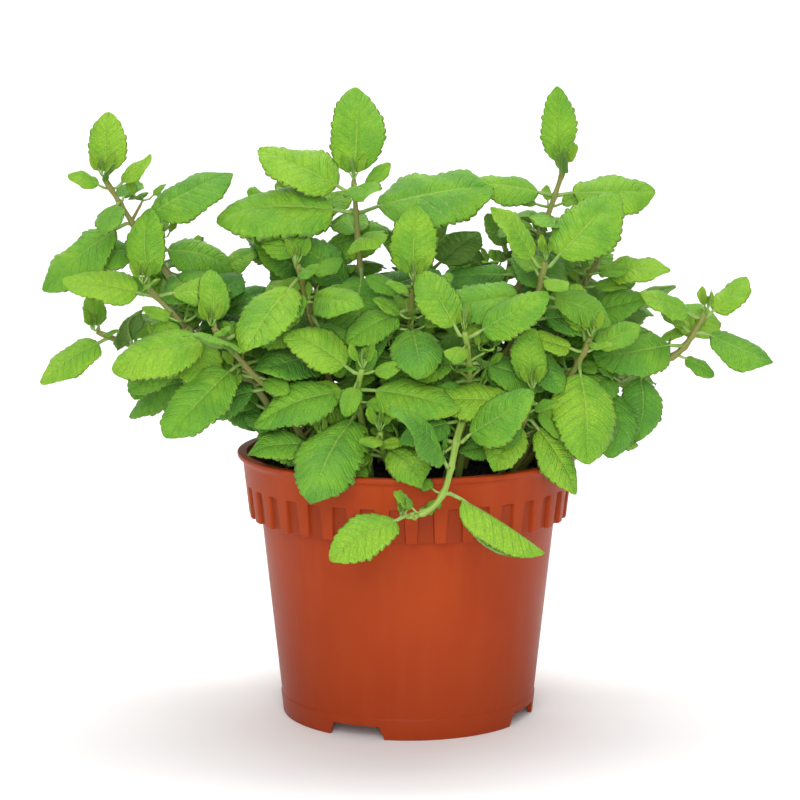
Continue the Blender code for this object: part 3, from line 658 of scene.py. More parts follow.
# %% The table of shoots
SHOOTS = [
    ("front_spill", [(15, -28, 101), (21, -46, 127), (19, -58, 124), (16, -72, 113), (13, -79, 105),
                     (7, -82, 99), (-1, -83, 97)],
     [(0, 206, (-22, 10), (30, 8)), (4, (205, 60), (35, 20), (10, 9)), (15, (-12, 150), (-24, 20), (38, 9),
      (0.55, 1))]),
    ("centre_left", [(-15, -24, 101), (-18, -36, 124), (-20, -44, 138), (-18, -50, 149)],
     [(18, (252, 70), (-40, 5), (48, 24), (0.88, 1)), (0, 168, (34, 20), (30, 12)),
      (4, 75, (58, -30), (14, 15)), (8, (-24, 192), (0, -10), (35, 36))]),
    ("right_centre", [(42, -14, 101), (54, -22, 126), (66, -29, 146), (72, -32, 159)],
     [(0, 112, (66, 5), (22, 14)), (4, 18, (30, 24), (21, 18)), (9, (-86, 100), (-46, 10), (39, 26)),
      (30, 20, (-20, 0), (36, 30))]),
    ("right_front", [(36, -28, 101), (42, -38, 118), (46, -46, 130), (48, -51, 141)],
     [(0, 80, (66, 0), (22, 12)), (4, 187, (-4, -20), (32, 16)), (12, (-112, -26), (-48, -26), (26, 31))]),
    ("centre_right", [(20, -22, 101), (24, -32, 130), (24, -40, 150), (22, -45, 163)],
     [(0, (-10, 150), (34, 45), (30, 27)), (4, 75, (50, -5), (14, 16)), (12, 190, (-5, -10), (24, 28)),
      (28, -75, (-35, 10), (30, 30))]),
    ("bottom_centre", [(-4, -30, 101), (-8, -42, 110), (-10, -50, 118), (-11, -55, 125)],
     [(0, 75, (20, -10), (16, 16)), (5, (-52, 130), (-36, 0), (28, 22)), (12, 20, (-6, -10), (24, 24))]),
    ("left_low_front", [(-30, -28, 101), (-31, -38, 108), (-32, -45, 114), (-34, -49, 121)],
     [(0, 195, (0, 12), (24, 14)), (5, 110, (0, -10), (22, 18)), (11, 215, (-8, 0), (24, 16))]),
    ("left_front", [(-36, -26, 101), (-48, -32, 130), (-64, -36, 148), (-77, -38, 164)],
     [(0, 105, (72, 10), (22, 13)), (4, 190, (-8, 20), (38, 30)), (17, 222, (-28, 5), (38, 30)),
      (32, 165, (-12, -8), (32, 30))]),
    ("centre_high", [(1, -6, 101), (1, -12, 140), (1, -22, 163), (2, -30, 181)],
     [(0, 85, (82, 12), (28, 14)), (4, 175, (32, 35), (15, 13)), (11, 205, (-18, -5), (24, 22)),
      (25, -88, (-34, 15), (28, 32)), (44, 5, (0, -5), (36, 38))]),
    ("right_upper", [(22, -8, 101), (32, -16, 138), (48, -27, 166), (54, -31, 189)],
     [(0, 22, (46, 55), (38, 27)), (4, 112, (30, -5), (20, 15)), (12, 190, (12, -15), (34, 26)),
      (34, -80, (-20, 10), (32, 34))]),
    ("left_centre", [(-24, -8, 101), (-32, -12, 140), (-40, -17, 168), (-44, -20, 187)],
     [(0, 112, (48, 10), (31, 15)), (4, 214, (-30, 30), (38, 16)), (20, -60, (-22, 10), (27, 28)),
      (38, 215, (-15, 0), (34, 34))]),
    ("crown_tall", [(-11, 8, 101), (-17, 7, 150), (-20, 3, 190), (-22, 0, 219)],
     [(0, 95, (80, 0), (36, 24)), (3, 172, (42, 50), (37, 14)), (11, 4, (20, 8), (50, 49)),
      (34, 95, (0, -22), (38, 42)), (58, 10, (-10, -10), (36, 38))]),
    ("left_high_front", [(-42, -14, 101), (-60, -16, 135), (-85, -20, 158), (-105, -22, 179)],
     [(0, 95, (80, 20), (28, 13)), (4, 182, (14, 12), (31, 24)), (13, -100, (-35, 10), (24, 24)),
      (32, 200, (-20, 5), (30, 28))]),
    ("far_left_high", [(-40, 10, 101), (-62, 12, 140), (-98, 8, 180), (-123, 0, 220)],
     [(0, 100, (80, 35), (25, 14)), (3, 10, (48, 28), (16, 13)), (10, -98, (-12, 30), (22, 17)),
      (20, (6, 198), (40, -26), (39, 39)), (46, 100, (15, -12), (32, 32))]),
    ("far_left_low", [(-48, 0, 101), (-72, 4, 128), (-100, 8, 144), (-128, 10, 156)],
     [(0, 120, (68, 15), (16, 9)), (5, 205, (-24, 20), (29, 14)), (24, 250, (-30, 20), (20, 18)),
      (44, 170, (-20, 15), (30, 26))]),
    ("far_right", [(46, -2, 101), (68, -7, 130), (90, -6, 141), (110, -2, 149), (121, 0, 165)],
     [(0, 22, (44, 25), (21, 24)), (7, (-12, 150), (-14, 40), (28, 12)), (20, 165, (38, -20), (21, 14)),
      (34, -95, (-62, 10), (26, 18)), (50, -60, (-55, 0), (32, 30))]),
    ("right_high", [(22, 16, 101), (36, 19, 150), (53, 21, 190), (64, 20, 222)],
     [(0, 95, (80, 35), (32, 14), (0.65, 1)), (9, 188, (15, 9), (27, 36)), (32, 95, (5, -10), (34, 36)),
      (58, 5, (0, 0), (36, 38))]),
    ("right_back_mid", [(40, 20, 101), (54, 20, 140), (69, 17, 168), (79, 13, 187)],
     [(0, 70, (62, 30), (18, 14)), (5, -15, (10, 25), (26, 20)), (20, 80, (10, 0), (30, 32)),
      (42, -10, (-10, 0), (36, 34))]),
    ("behind_left", [(-22, 24, 101), (-30, 26, 145), (-40, 28, 180), (-46, 28, 205)], 0.92),
    ("left_back", [(-38, 26, 101), (-54, 32, 140), (-76, 37, 162), (-91, 38, 180)], 0.80),
    ("back_centre", [(2, 30, 101), (6, 38, 150), (10, 44, 186)], 1.0),
    ("back_right", [(20, 30, 101), (28, 46, 140), (40, 56, 168), (46, 60, 186)], 0.95),
    ("back_left", [(-16, 38, 101), (-27, 54, 138), (-38, 68, 156), (-48, 76, 168)], 0.85),
    ("right_back_low", [(46, 24, 101), (62, 34, 132), (80, 44, 150), (90, 48, 168)], 0.85),
    ("left_back_low", [(-48, 20, 101), (-66, 36, 128), (-82, 48, 142), (-94, 54, 158)], 0.85),
    ("back_low", [(6, 46, 101), (5, 59, 124), (3, 70, 134), (1, 78, 147)], 0.80),
    ("back_left_low", [(-26, 38, 101), (-40, 55, 122), (-54, 68, 130), (-63, 75, 142)], 0.85),
    ("back_right_low", [(29, 36, 101), (42, 52, 124), (60, 66, 134), (72, 74, 146)], 0.85),
]
ORDINARY_PAIRS = [(0, 66, 17), (5, 38, 27), (18, 14, 35), (38, -4, 38)]
GOLDEN_TURN = 137.5  # spreads the compass angles of ordinary shoots
print(len(SHOOTS), "shoots")

# %% [markdown]
# A stem is a smooth curve through its points. `stem_at` walks down it from the tip, as a gardener
# counts nodes.

# %% Stems as curves
STEM_HALF_WIDTH = 1.35 * MM


def stem_point(points, t):
    """A point of the smooth curve through points, with t from 0 at the root to 1 at the tip."""
    place = t * (len(points) - 1)
    i = min(int(place), len(points) - 2)
    u = place - i
    a, b, c, d = (points[max(0, min(len(points) - 1, i + k))] for k in (-1, 0, 1, 2))
    bend = 2 * a - 5 * b + 4 * c - d
    twist = 3 * b - a - 3 * c + d
    return 0.5 * (2 * b + (c - a) * u + bend * u ** 2 + twist * u ** 3)


def stem_line(points, samples=160):
    """Closely spaced points along a stem, root first, and each one's distance from the tip."""
    line = [stem_point(points, i / samples) for i in range(samples + 1)]
    below = [0.0]
    for k in range(samples, 0, -1):
        below.append(below[-1] + (line[k] - line[k - 1]).length)
    return line, below[::-1]


def stem_at(stem, distance):
    """Point and direction of a stem at a distance below its tip."""
    line, below = stem
    k = next((i for i in range(1, len(line)) if below[i] <= distance), len(line) - 1)
    span = below[k - 1] - below[k]
    share = min(1.0, max(0.0, (below[k - 1] - distance) / span))
    return line[k - 1].lerp(line[k], share), (line[k] - line[k - 1]).normalized()


first_stem = stem_line([Vector(p) * MM for p in SHOOTS[0][1]])
print("the stem that spills over is", round(first_stem[1][0] / MM), "mm long")

# %% [markdown]
# A leaf leaves the stem on a short stalk, arches over, and turns its face to the light. Its line is a
# chain of frames, and each frame is a point with three directions: forward, sideways and up out of the
# leaf's face.

# %% The line of a leaf
PETIOLE_RATIO = 0.10  # length of the stalk as a share of the blade's
PETIOLE_MIN = 1.6 * MM
LIGHT_TURN = 0.75  # share of the full turn that brings a leaf's face to the light
LIGHT_RISE = 0.62
LIGHT_FRONT = 0.75
LIGHT_OWN_SIDE = 0.2
MOST_TURN = 1.1  # in radians, about 63 degrees
BACK_STARTS = 40 * MM  # shoots behind this line get their light from the back


def compass(angle):
    """A level direction from an angle in degrees."""
    return Vector((math.cos(math.radians(angle)), math.sin(math.radians(angle)), 0))


def light_on(stem):
    """The direction the light falls from on a shoot: above, in front and a little from its own side."""
    tip = stem[0][-1]
    front = Vector((0, 1 if tip.y > BACK_STARTS else -1, 0))
    own_side = Vector((tip.x, tip.y, 0)).normalized()
    return (Vector((0, 0, LIGHT_RISE)) + front * LIGHT_FRONT + own_side * LIGHT_OWN_SIDE).normalized()


def leaf_line(root, angle, rise, length, curl, light, steps=10, stand_off=STEM_HALF_WIDTH + 1.2 * MM):
    """Frames (point, forward, side, face) of a leaf: one at the stem, the rest along its blade."""
    out, up = compass(angle), Vector((0, 0, 1))
    forward = out * math.cos(math.radians(rise)) + up * math.sin(math.radians(rise))
    face = up * math.cos(math.radians(rise)) - out * math.sin(math.radians(rise))
    side = forward.cross(face)
    lit = (light - forward * light.dot(forward)).normalized()
    turn = math.atan2(lit.dot(side), lit.dot(face)) * LIGHT_TURN
    turn = max(-MOST_TURN, min(MOST_TURN, turn))
    face = (face * math.cos(turn) + side * math.sin(turn)).normalized()
    side = forward.cross(face)
    petiole = PETIOLE_MIN + PETIOLE_RATIO * length
    point = root + out * stand_off + up * 0.4 * MM
    frames = [(point, forward, side, face)]
    point = point + forward * petiole
    frames.append((point, forward, side, face))
    bend = math.radians(curl) / steps
    for _ in range(steps):
        forward, face = (
            (forward * math.cos(bend) - face * math.sin(bend)).normalized(),
            (face * math.cos(bend) + forward * math.sin(bend)).normalized(),
        )
        point = point + forward * (length / steps)
        frames.append((point, forward, side, face))
    return frames


tested = leaf_line(Vector(), 0, 20, 36 * MM, 18, Vector((0, -0.7, 0.7)))
print("a 36 mm leaf reaches", round(tested[-1][0].length / MM, 1), "mm from its stem")

# %% [markdown]
# Leaves crowd each other, and a real one bends out of its neighbours' way. Here each new leaf is first
# a plain chain of boxes, which turns, lifts or shrinks a little until it touches nothing.

# %% A leaf as a chain of boxes
LEAF_WIDTH_RATIO = 0.66
LEAF_THICKNESS = 0.8 * MM
PETIOLE_HALF_WIDTH = 0.75 * MM
ELBOW_ROOM = 0.45 * MM
# Share of the blade's length against share of its full width, from the petiole to the tip
BLADE_WIDTHS = [(0.0, 0.3), (0.2, 0.86), (0.5, 1.0), (0.8, 0.7), (1.0, 0.1)]


def leaf_sections(frames, length, width, grow=0.0):
    """Rectangles (centre, side, face, half width, half thickness) along a leaf."""
    point, _, side, face = frames[0]
    sections = [(point, side, face, PETIOLE_HALF_WIDTH, PETIOLE_HALF_WIDTH)]
    steps = len(frames) - 2
    for share, full in BLADE_WIDTHS:
        point, _, side, face = frames[1 + round(share * steps)]
        half = max(PETIOLE_HALF_WIDTH, full * width * length * LEAF_WIDTH_RATIO / 2)
        sections.append((point, side, face, half + grow, LEAF_THICKNESS / 2 + grow))
    return sections


def corners(section):
    """The four corners of a section, in turn."""
    centre, side, face, half_width, half_height = section
    return [centre + side * half_width * a + face * half_height * b
            for a, b in ((-1, -1), (1, -1), (1, 1), (-1, 1))]


def box_chain(sections):
    """Points and faces of a closed tube through rectangular sections."""
    points = [p for section in sections for p in corners(section)]
    faces = [(0, 3, 2, 1)]
    for k in range(len(sections) - 1):
        low, high = 4 * k, 4 * k + 4
        faces += [(low + i, low + (i + 1) % 4, high + (i + 1) % 4, high + i) for i in range(4)]
    end = len(points) - 4
    return points, faces + [(end, end + 1, end + 2, end + 3)]


print("the tested leaf's box chain has", len(box_chain(leaf_sections(tested, 36 * MM, 1))[1]), "faces")

# %% [markdown]
# `Room` keeps the space already taken in a search tree. Before the first leaf grows, the pot and the soil
# take their space as a plain drum.

# %% The space already taken
class Room:
    """The space already taken, so that a new leaf can look for a free place."""

    def __init__(self):
        """Empty at first."""
        self.points, self.faces = [], []

    def take(self, points, faces):
        """Adds a shape to the space taken."""
        start = len(self.points)
        self.points += points
        self.faces += [[start + i for i in face] for face in faces]
        self.tree = BVHTree.FromPolygons(self.points, self.faces)

    def free(self, points, faces):
        """Whether a shape touches nothing taken."""
        return not self.tree.overlap(BVHTree.FromPolygons(points, faces))


def pot_room():
    """The pot and soil as a plain drum and lip, which leaves stay out of."""
    points, faces, sides = [], [], 32
    outline = [(0, SOIL_CROWN + 0.6 * MM), (INNER_LIP_RADIUS - MM, SOIL_EDGE + 0.6 * MM),
               (INNER_LIP_RADIUS - MM, POT_HEIGHT + 0.6 * MM),
               (RIM_RADIUS + 0.8 * MM, POT_HEIGHT + 0.6 * MM),
               (RIM_RADIUS + 0.8 * MM, POT_HEIGHT - 4 * MM),
               (COLLAR_BOTTOM_RADIUS + 2.5 * MM, COLLAR_BOTTOM),
               (FOOT_RADIUS + 2 * MM, 0)]
    for radius, height in outline:
        for k in range(sides):
            turn = 2 * math.pi * k / sides
            points.append(Vector((radius * math.cos(turn), radius * math.sin(turn), height)))
    for row in range(len(outline) - 1):
        for k in range(sides):
            low, high, after = row * sides, (row + 1) * sides, (k + 1) % sides
            faces.append((low + k, low + after, high + after, high + k))
    return points, faces


print("faces of the drum:", len(pot_room()[1]))

# %% [markdown]
# A leaf that meets something may turn, lift or shrink. Small changes come first, and shrinking comes
# last. A stem takes its room as a chain of square boxes.

# %% Moves that a leaf may try
def tries():
    """Changes (turn, rise, size) that a leaf may make to find room, the smallest first."""
    moves = [(turn, rise, size) for size in (1.0, 0.85, 0.7, 0.55)
             for turn in (0, -12, 12, -24, 24, -36, 36) for rise in (0, 12, -12, 24, -24, 38, -38)]
    return sorted(moves, key=lambda m: abs(m[0]) / 12 + abs(m[1]) / 12 + (1 - m[2]) * 14)


def stem_sections(stem, start, end, steps, half):
    """Square sections of a stem between two distances below its tip."""
    sections = []
    for k in range(steps + 1):
        point, along = stem_at(stem, start + (end - start) * k / steps)
        side = along.cross(Vector((0, 1, 0))).normalized()
        sections.append((point, side, along.cross(side), half, half))
    return sections


print("moves that a leaf may try:", len(tries()))

# %% [markdown]
# A shoot's row in the table is opened out into single leaves.

# %% From the table to leaves
def pairs_of(index, pairs):
    """A shoot's leaf pairs. A number stands for an ordinary shoot of that vigour."""
    if isinstance(pairs, list):
        return pairs
    first = index * GOLDEN_TURN
    return [(below, first + 90 * k, (rise, rise), (size * pairs, size * pairs))
            for k, (below, rise, size) in enumerate(ORDINARY_PAIRS)]


def leaves_of(index, pairs):
    """Every leaf of a shoot as (order, distance below the tip, angle, rise, length, width share)."""
    leaves = []
    for order, (below, angles, rises, lengths, *widths) in enumerate(pairs_of(index, pairs)):
        angles = angles if isinstance(angles, tuple) else (angles, angles + 180)
        widths = widths[0] if widths else (1, 1)
        for partner in (0, 1):
            leaves.append((order, below, angles[partner], rises[partner], lengths[partner], widths[partner]))
    return leaves


def a_leaf(root, angle, rise, length, width, curl, light, below, order):
    """What is known about one leaf, with the fine frames that its blade will follow."""
    frames = leaf_line(root, angle, rise, length, curl, light, steps=24)
    return {"root": root, "angle": angle, "frames": frames, "length": length, "width": width,
            "below": below, "order": order}


print("the table gives the first shoot", len(leaves_of(0, SHOOTS[0][2])), "leaves")

# %% [markdown]
# `settle` tries the moves in turn, the smallest first, and takes the first place that is free. Leaves
# that are only added here must also keep their tips above a lowest height. Further out than the pot's
# rim that height climbs, so that the foliage opens like a bowl.

# %% Find a place for a leaf
SPREAD_START = 60 * MM
SPREAD_RISE = 0.75


def settle(room, root, angle, rise, full, width, curl, light, sizes=(0, 1), lowest=0):
    """Finds a free place for a leaf, and returns its angle, rise and length there, or nothing."""
    for turn, lift, size in tries():
        if not sizes[0] <= size <= sizes[1]:
            continue
        length = full * size * MM
        frames = leaf_line(root, angle + turn, rise + lift, length, curl, light)
        blade = leaf_sections(frames, length, width, ELBOW_ROOM)[1:]
        tip = frames[-1][0]
        beyond = max(0.0, tip.xy.length - SPREAD_START) * SPREAD_RISE if lowest else 0.0
        if tip.z > lowest + beyond and room.free(*box_chain(blade)):
            room.take(*box_chain(leaf_sections(frames, length, width)))
            return angle + turn, rise + lift, length
    return None


print("an added leaf 100 mm out needs", SPREAD_RISE * 40, "mm more height than one at 60 mm")

# %% [markdown]
# Growing goes shoot by shoot, the most visible first. All stems take their room before any leaf does. The
# order and the random seed are the CAD's, so the leaves find the same places.

# %% Grow the leaves that the CAD has
chance = random.Random(7)
room = Room()
room.take(*pot_room())
plants = []
for name, points, pairs in SHOOTS:
    stem = stem_line([Vector(p) * MM for p in points])
    room.take(*box_chain(stem_sections(stem, stem[1][0], 0, 14, STEM_HALF_WIDTH + ELBOW_ROOM)))
    plants.append({"name": name, "stem": stem, "leaves": [], "nodes": []})
for index, (plant, (_, _, pairs)) in enumerate(zip(plants, SHOOTS)):
    plant["light"] = light_on(plant["stem"])
    for order, below, angle, rise, full, width in leaves_of(index, pairs):
        below = (below + 2.5) * MM
        root, _ = stem_at(plant["stem"], below)
        curl = 12 + 6 * order
        wobble = chance.uniform(-3, 3)
        found = settle(room, root, angle + wobble, rise, full, width, curl, plant["light"])
        if found:
            plant["leaves"].append(
                a_leaf(root, found[0], found[1], found[2], width, curl, plant["light"], below, order))
            plant["nodes"].append((below, angle))
print("leaves that the CAD has:", sum(len(plant["leaves"]) for plant in plants))

# %% [markdown]
# A real mint plant is denser than its CAD. Older nodes lower down still carry leaves. They look for room
# in the same way as the others, and stay out when there is none.

# %% Lower leaves
LOWEST_TIP = 116 * MM  # keeps the added leaves off the rim, so that soil shows under the foliage
NODE_SPACING = 13 * MM
NODE_ROOM = 12 * MM  # the least distance between the CAD's nodes that leaves room for another
BARE_FOOT = 9 * MM  # the length above the soil that stays bare
LOWER_ORDER = 6  # leaves of the CAD count from 0 at the tip, and the added kinds come after them
extra = random.Random(23)


def lower_leaves(plant, room):
    """Pairs on the stem between the CAD's pairs and down towards the soil."""
    stem, light = plant["stem"], plant["light"]
    taken = sorted({node[0] for node in plant["nodes"]})
    lowest, angle = max(plant["nodes"])
    places = [(a + b) / 2 for a, b in zip(taken, taken[1:]) if b - a > NODE_ROOM]
    below = lowest + NODE_ROOM
    while below < stem[1][0] - BARE_FOOT:
        places.append(below)
        below += NODE_SPACING
    for k, below in enumerate(sorted(places)):
        root, _ = stem_at(stem, below)
        for partner in (0, 180):
            full = extra.uniform(24, 36)
            rise = extra.uniform(-12, 30)
            turn = angle + 90 * (k + 1) + partner
            found = settle(room, root, turn, rise, full, 1, 30, light, (0.55, 1), LOWEST_TIP)
            if found:
                plant["leaves"].append(
                    a_leaf(root, found[0], found[1], found[2], 1, 30, light, below, LOWER_ORDER))
        plant["nodes"].append((below, angle + 90 * (k + 1)))


print("an added node every", NODE_SPACING / MM, "mm down the bare part of a stem")

# %% [markdown]
# Young side shoots start in the corner above many of the leaves. Each one is a short twig with two pairs
# of small leaves, the second pair a right angle from the first.

# %% Side shoots
TWIG_SHARE = 0.4  # share of the leaves that have a side shoot
TWIGS_START = 14 * MM  # below the tip
TWIG_ORDER = 7


def side_shoots(plant, room):
    """A short twig with small leaves in the corner above a leaf."""
    plant["twigs"] = []
    for leaf in list(plant["leaves"]):
        if leaf["below"] < TWIGS_START or extra.random() < 1 - TWIG_SHARE:
            continue
        start, along = stem_at(plant["stem"], leaf["below"] - 1.2 * MM)
        out = compass(leaf["angle"])
        way = (along * extra.uniform(0.6, 1.1) + out).normalized()
        reach = extra.uniform(5, 10) * MM
        tip = start + way * reach
        made = []
        for k in range(4):
            full = extra.uniform(9, 15) if k < 2 else extra.uniform(5, 8)
            angle = leaf["angle"] + 90 + 180 * (k % 2) + 90 * (k // 2)
            rise = extra.uniform(5, 35) if k < 2 else extra.uniform(45, 70)
            found = settle(room, tip, angle, rise, full, 0.95, 14, plant["light"], (0.7, 1), LOWEST_TIP)
            if found:
                made.append(a_leaf(tip, found[0], found[1], found[2], 0.95, 14, plant["light"],
                                   leaf["below"] * 0.5, TWIG_ORDER))
        if made:
            plant["leaves"] += made
            plant["twigs"].append((start, tip))


print("about", round(100 * TWIG_SHARE), "leaves in 100 get a side shoot")

# %% [markdown]
# Every tip holds a bud: three pairs of baby leaves, each smaller and steeper than the last. They are so
# close together that there is no point in looking for room.

# %% Tip buds
BUD_PAIRS = [(8.0, 62), (5.0, 74), (3.0, 82)]  # (length in millimetres, rise in degrees)
BUD_ORDER = 8


def tip_bud(plant):
    """Three tiny pairs closing over the tip."""
    tip, along = stem_at(plant["stem"], 0)
    first = plant["nodes"][0][1]
    for k, (full, rise) in enumerate(BUD_PAIRS):
        root = tip + along * (0.6 + 0.7 * k) * MM
        for partner in (0, 180):
            angle = first + 90 * (k + 1) + partner + extra.uniform(-8, 8)
            made = a_leaf(root, angle, rise, full * MM, 0.8, -14, plant["light"], 0, BUD_ORDER)
            made["frames"] = leaf_line(root, angle, rise, full * MM, -14, plant["light"], 24, 0.5 * MM)
            plant["leaves"].append(made)


print("leaves in a bud:", 2 * len(BUD_PAIRS))

# %% [markdown]
# The lower leaves of every shoot come first, since they are the largest. The twigs and buds then fill
# what is left.

# %% Fill the plant out
for plant in plants:
    lower_leaves(plant, room)
for plant in plants:
    side_shoots(plant, room)
    tip_bud(plant)
print("leaves in all:", sum(len(plant["leaves"]) for plant in plants))

# %% [markdown]
# ## The shape of one leaf
# A mint blade is an oval, widest a little below its middle, with a saw-toothed edge. The midrib lies in
# a groove, side veins curve forward from it, and the skin between them puffs up like a quilt. The blade
# folds up a little along the midrib and rolls down again at its edges. A flat card with a leaf picture is
# the quick way, but then the edges and the quilting are only paint. Each blade here is a grid of points:
# its rows run from base to tip, with four rows to a tooth, and its columns crowd near the midrib and
# the edge.

# %% Outline and teeth
SIDE_VEINS = 9
VEIN_SWEEP = 0.20
TOOTH_SHARES = (0.0, 0.3, 0.62, 0.87)
TOOTH_RISES = (0.0, 0.7, 1.0, 0.72)
TOOTH_LEANS = (0.0, 0.04, 0.1, 0.1)
FINE_COLUMNS = (0.07, 0.2, 0.38, 0.58, 0.77, 0.91, 1.0)
PLAIN_COLUMNS = (0.1, 0.35, 0.65, 0.88, 1.0)
SMALL_COLUMNS = (0.3, 0.75, 1.0)


def outline(s, point=0.5):
    """Share of the full half width at a share of the length. A higher point gives a sharper tip."""
    s = np.clip(s, 0.003, 0.995)
    return np.sin(np.pi * s ** 0.82) ** point * (1 - 0.25 * s ** 10)


def leaf_grid(length):
    """Rows (share of length, tooth rise, lean and number) and columns (-1 to 1) for a leaf."""
    teeth = int(max(4, min(14, round(length / (3.0 * MM)))))
    rows = [((k + share) / teeth, rise, lean / teeth, k)
            for k in range(teeth) for share, rise, lean in zip(TOOTH_SHARES, TOOTH_RISES, TOOTH_LEANS)]
    rows.append((1.0, 0.0, 0.0, teeth))
    half = FINE_COLUMNS if length > 24 * MM else PLAIN_COLUMNS if length > 11 * MM else SMALL_COLUMNS
    columns = [-c for c in reversed(half)] + [0.0] + list(half)
    return np.array(rows), np.array(columns)


rows_tested, columns_tested = leaf_grid(36 * MM)
print("grid of a 36 mm leaf:", len(rows_tested), "by", len(columns_tested))

# %% [markdown]
# The height of the skin above the leaf's plane adds up several things: the fold, the quilting, the
# midrib's groove, a slow wave along each edge, an uneven crinkle that breaks up the pattern, and a tip
# that flicks up or down. Every leaf gets its own amounts.

# %% Height of the leaf's skin
PUFF = 0.024  # these heights are shares of the blade's length
GROOVE = 0.007
CRINKLE = 0.008
FLICK_STARTS = 0.62


def skin_height(s, t, half, length, habit):
    """Height above the plane of the leaf, for grids of s (base to tip) and t (edge to edge)."""
    q = np.abs(t)
    fold = half * (habit["fold"] * q - (habit["fold"] + habit["roll"]) * q * q)
    phase = (s - VEIN_SWEEP * q ** 1.15) * SIDE_VEINS
    quilt = np.abs(np.sin(np.pi * phase)) ** 0.7 * np.clip(q / 0.16, 0, 1) * (1 - q ** 4)
    puff = PUFF * length * quilt * outline(s)
    ripple = habit["ripple"] * length * np.sin(2 * np.pi * 1.3 * s + habit["wave_right"]) * np.sin(1.9 * t)
    groove = -GROOVE * length * np.exp(-(q / 0.07) ** 2) * np.clip(1.15 - s, 0, 1)
    side = np.where(t > 0, habit["wave_right"], habit["wave_left"])
    wave = habit["wave"] * length * q ** 3 * np.sin(2 * np.pi * (habit["waves"] * s) + side)
    crinkle = np.sin(29 * s + 7 * t + habit["wave_left"]) * np.sin(10 * t - 12 * s + habit["wave_right"])
    crinkle = CRINKLE * length * crinkle * np.clip(q / 0.2, 0, 1) * (1 - q ** 4)
    flick = habit["flick"] * length * np.clip(s - FLICK_STARTS, 0, 1) ** 2
    return fold + puff + groove + wave + ripple + crinkle + flick


def new_habit(chance, order):
    """How one leaf differs from the next."""
    young = order >= TWIG_ORDER
    return {
        "fold": chance.uniform(0.3, 0.5) if young else chance.uniform(0.12, 0.4),
        "roll": chance.uniform(-0.1, 0.1) if young else chance.uniform(0.05, 0.34),
        "wave": chance.uniform(0.012, 0.034),
        "ripple": chance.uniform(0.0, 0.022),
        "waves": chance.uniform(1.3, 2.4),
        "wave_left": chance.uniform(0, 6.28),
        "wave_right": chance.uniform(0, 6.28),
        "slim": chance.uniform(0.86, 1.06),
        "point": chance.uniform(0.44, 0.64),
        "flick": chance.uniform(-0.6, 0.4),
        "twist": chance.uniform(-0.38, 0.38),
        "teeth": chance.uniform(0.75, 1.1),
        "shut": 0.0,
        "sway": chance.uniform(-0.07, 0.07),
        "tone": chance.uniform(-0.2, 0.16),
    }


print("one leaf's habit:", sorted(new_habit(random.Random(1), 0)))

# %% [markdown]
# Each point of the grid first gets its place on the leaf. The outline swells and narrows a little of its
# own, and the teeth are uneven: they lean towards the tip, and some stand out further than others.

# %% Places on a toothed leaf
TOOTH_DEPTH = 0.025  # as a share of the blade's length
BLADE_FULLNESS = 0.98


def toothed_places(leaf, habit):
    """Grids of s, t, the half width there and the tooth that stands out from it."""
    length = leaf["length"]
    rows, columns = leaf_grid(length)
    t = np.tile(columns, (len(rows), 1))
    q = np.abs(t)
    at_edge = np.clip((q - 0.72) / 0.28, 0, 1) ** 1.5
    s = np.clip(rows[:, :1] + rows[:, 2:3] * at_edge, 0, 1)
    lobes = 1 + 0.05 * np.sin(7.5 * s + habit["wave_left"] + 2 * np.sign(t))
    widest = BLADE_FULLNESS * habit["slim"] * leaf["width"] * length * LEAF_WIDTH_RATIO / 2
    half = widest * outline(s, habit["point"]) * lobes
    half = np.maximum(half, 0.3 * MM)
    uneven = habit["teeth"] * (1 + 0.45 * np.sin(habit["wave_left"] + rows[:, 3:] * 2.3 + 1.7 * np.sign(t)))
    saw = rows[:, 1:2] * at_edge * TOOTH_DEPTH * length * uneven * np.clip(outline(s) * 1.4, 0, 1)
    return s, t, half, saw


tried_leaf, tried_habit = plants[0]["leaves"][0], new_habit(random.Random(1), 0)
tried_places = toothed_places(tried_leaf, tried_habit)
print("widest half of one leaf:", round(float(tried_places[2].max()) / MM, 1), "mm")

# %% [markdown]
# The blade twists a little towards its tip. A leaf can also be shut like a book, which turns its upper
# half back about the midrib. Both only change which way is outward and which way is up at each place.

# %% Twisting and shutting
def directions(leaf, habit, s, t):
    """Centre, outward and upward directions at each place, with the twist and the shutting applied."""
    line = np.array([[tuple(v) for v in frame] for frame in leaf["frames"][1:]])
    place = np.clip(s, 0, 1) * (len(line) - 1)
    low = np.minimum(place.astype(int), len(line) - 2)
    share = (place - low)[..., None, None]
    frames = line[low] * (1 - share) + line[low + 1] * share
    centre, side, face = frames[..., 0, :], frames[..., 2, :], frames[..., 3, :]
    turn = (habit["twist"] * s * s)[..., None]
    across = side * np.cos(turn) + face * np.sin(turn)
    up = face * np.cos(turn) - side * np.sin(turn)
    hand = np.where(t < 0, -1.0, 1.0)[..., None]
    shut = np.where(t * side[..., 2].mean() > 0, habit["shut"], 0.0)[..., None]
    outward = across * hand
    across = outward * np.cos(shut) - up * np.sin(shut)
    up = up * np.cos(shut) + outward * np.sin(shut)
    return centre, hand, across, up


print("directions at", directions(tried_leaf, tried_habit, *tried_places[:2])[0].shape[:2], "places")

# %% [markdown]
# `blade` lays the skin along the leaf's frames and sways it sideways. It makes two skins about a quarter
# of a millimetre apart, which share the points of the edge, so the leaf is a closed solid. It could be
# one skin with the Solidify modifier, but then both sides would end in a blunt wall all round.

# %% The blade's two skins
BLADE_THICKNESS = 0.28 * MM


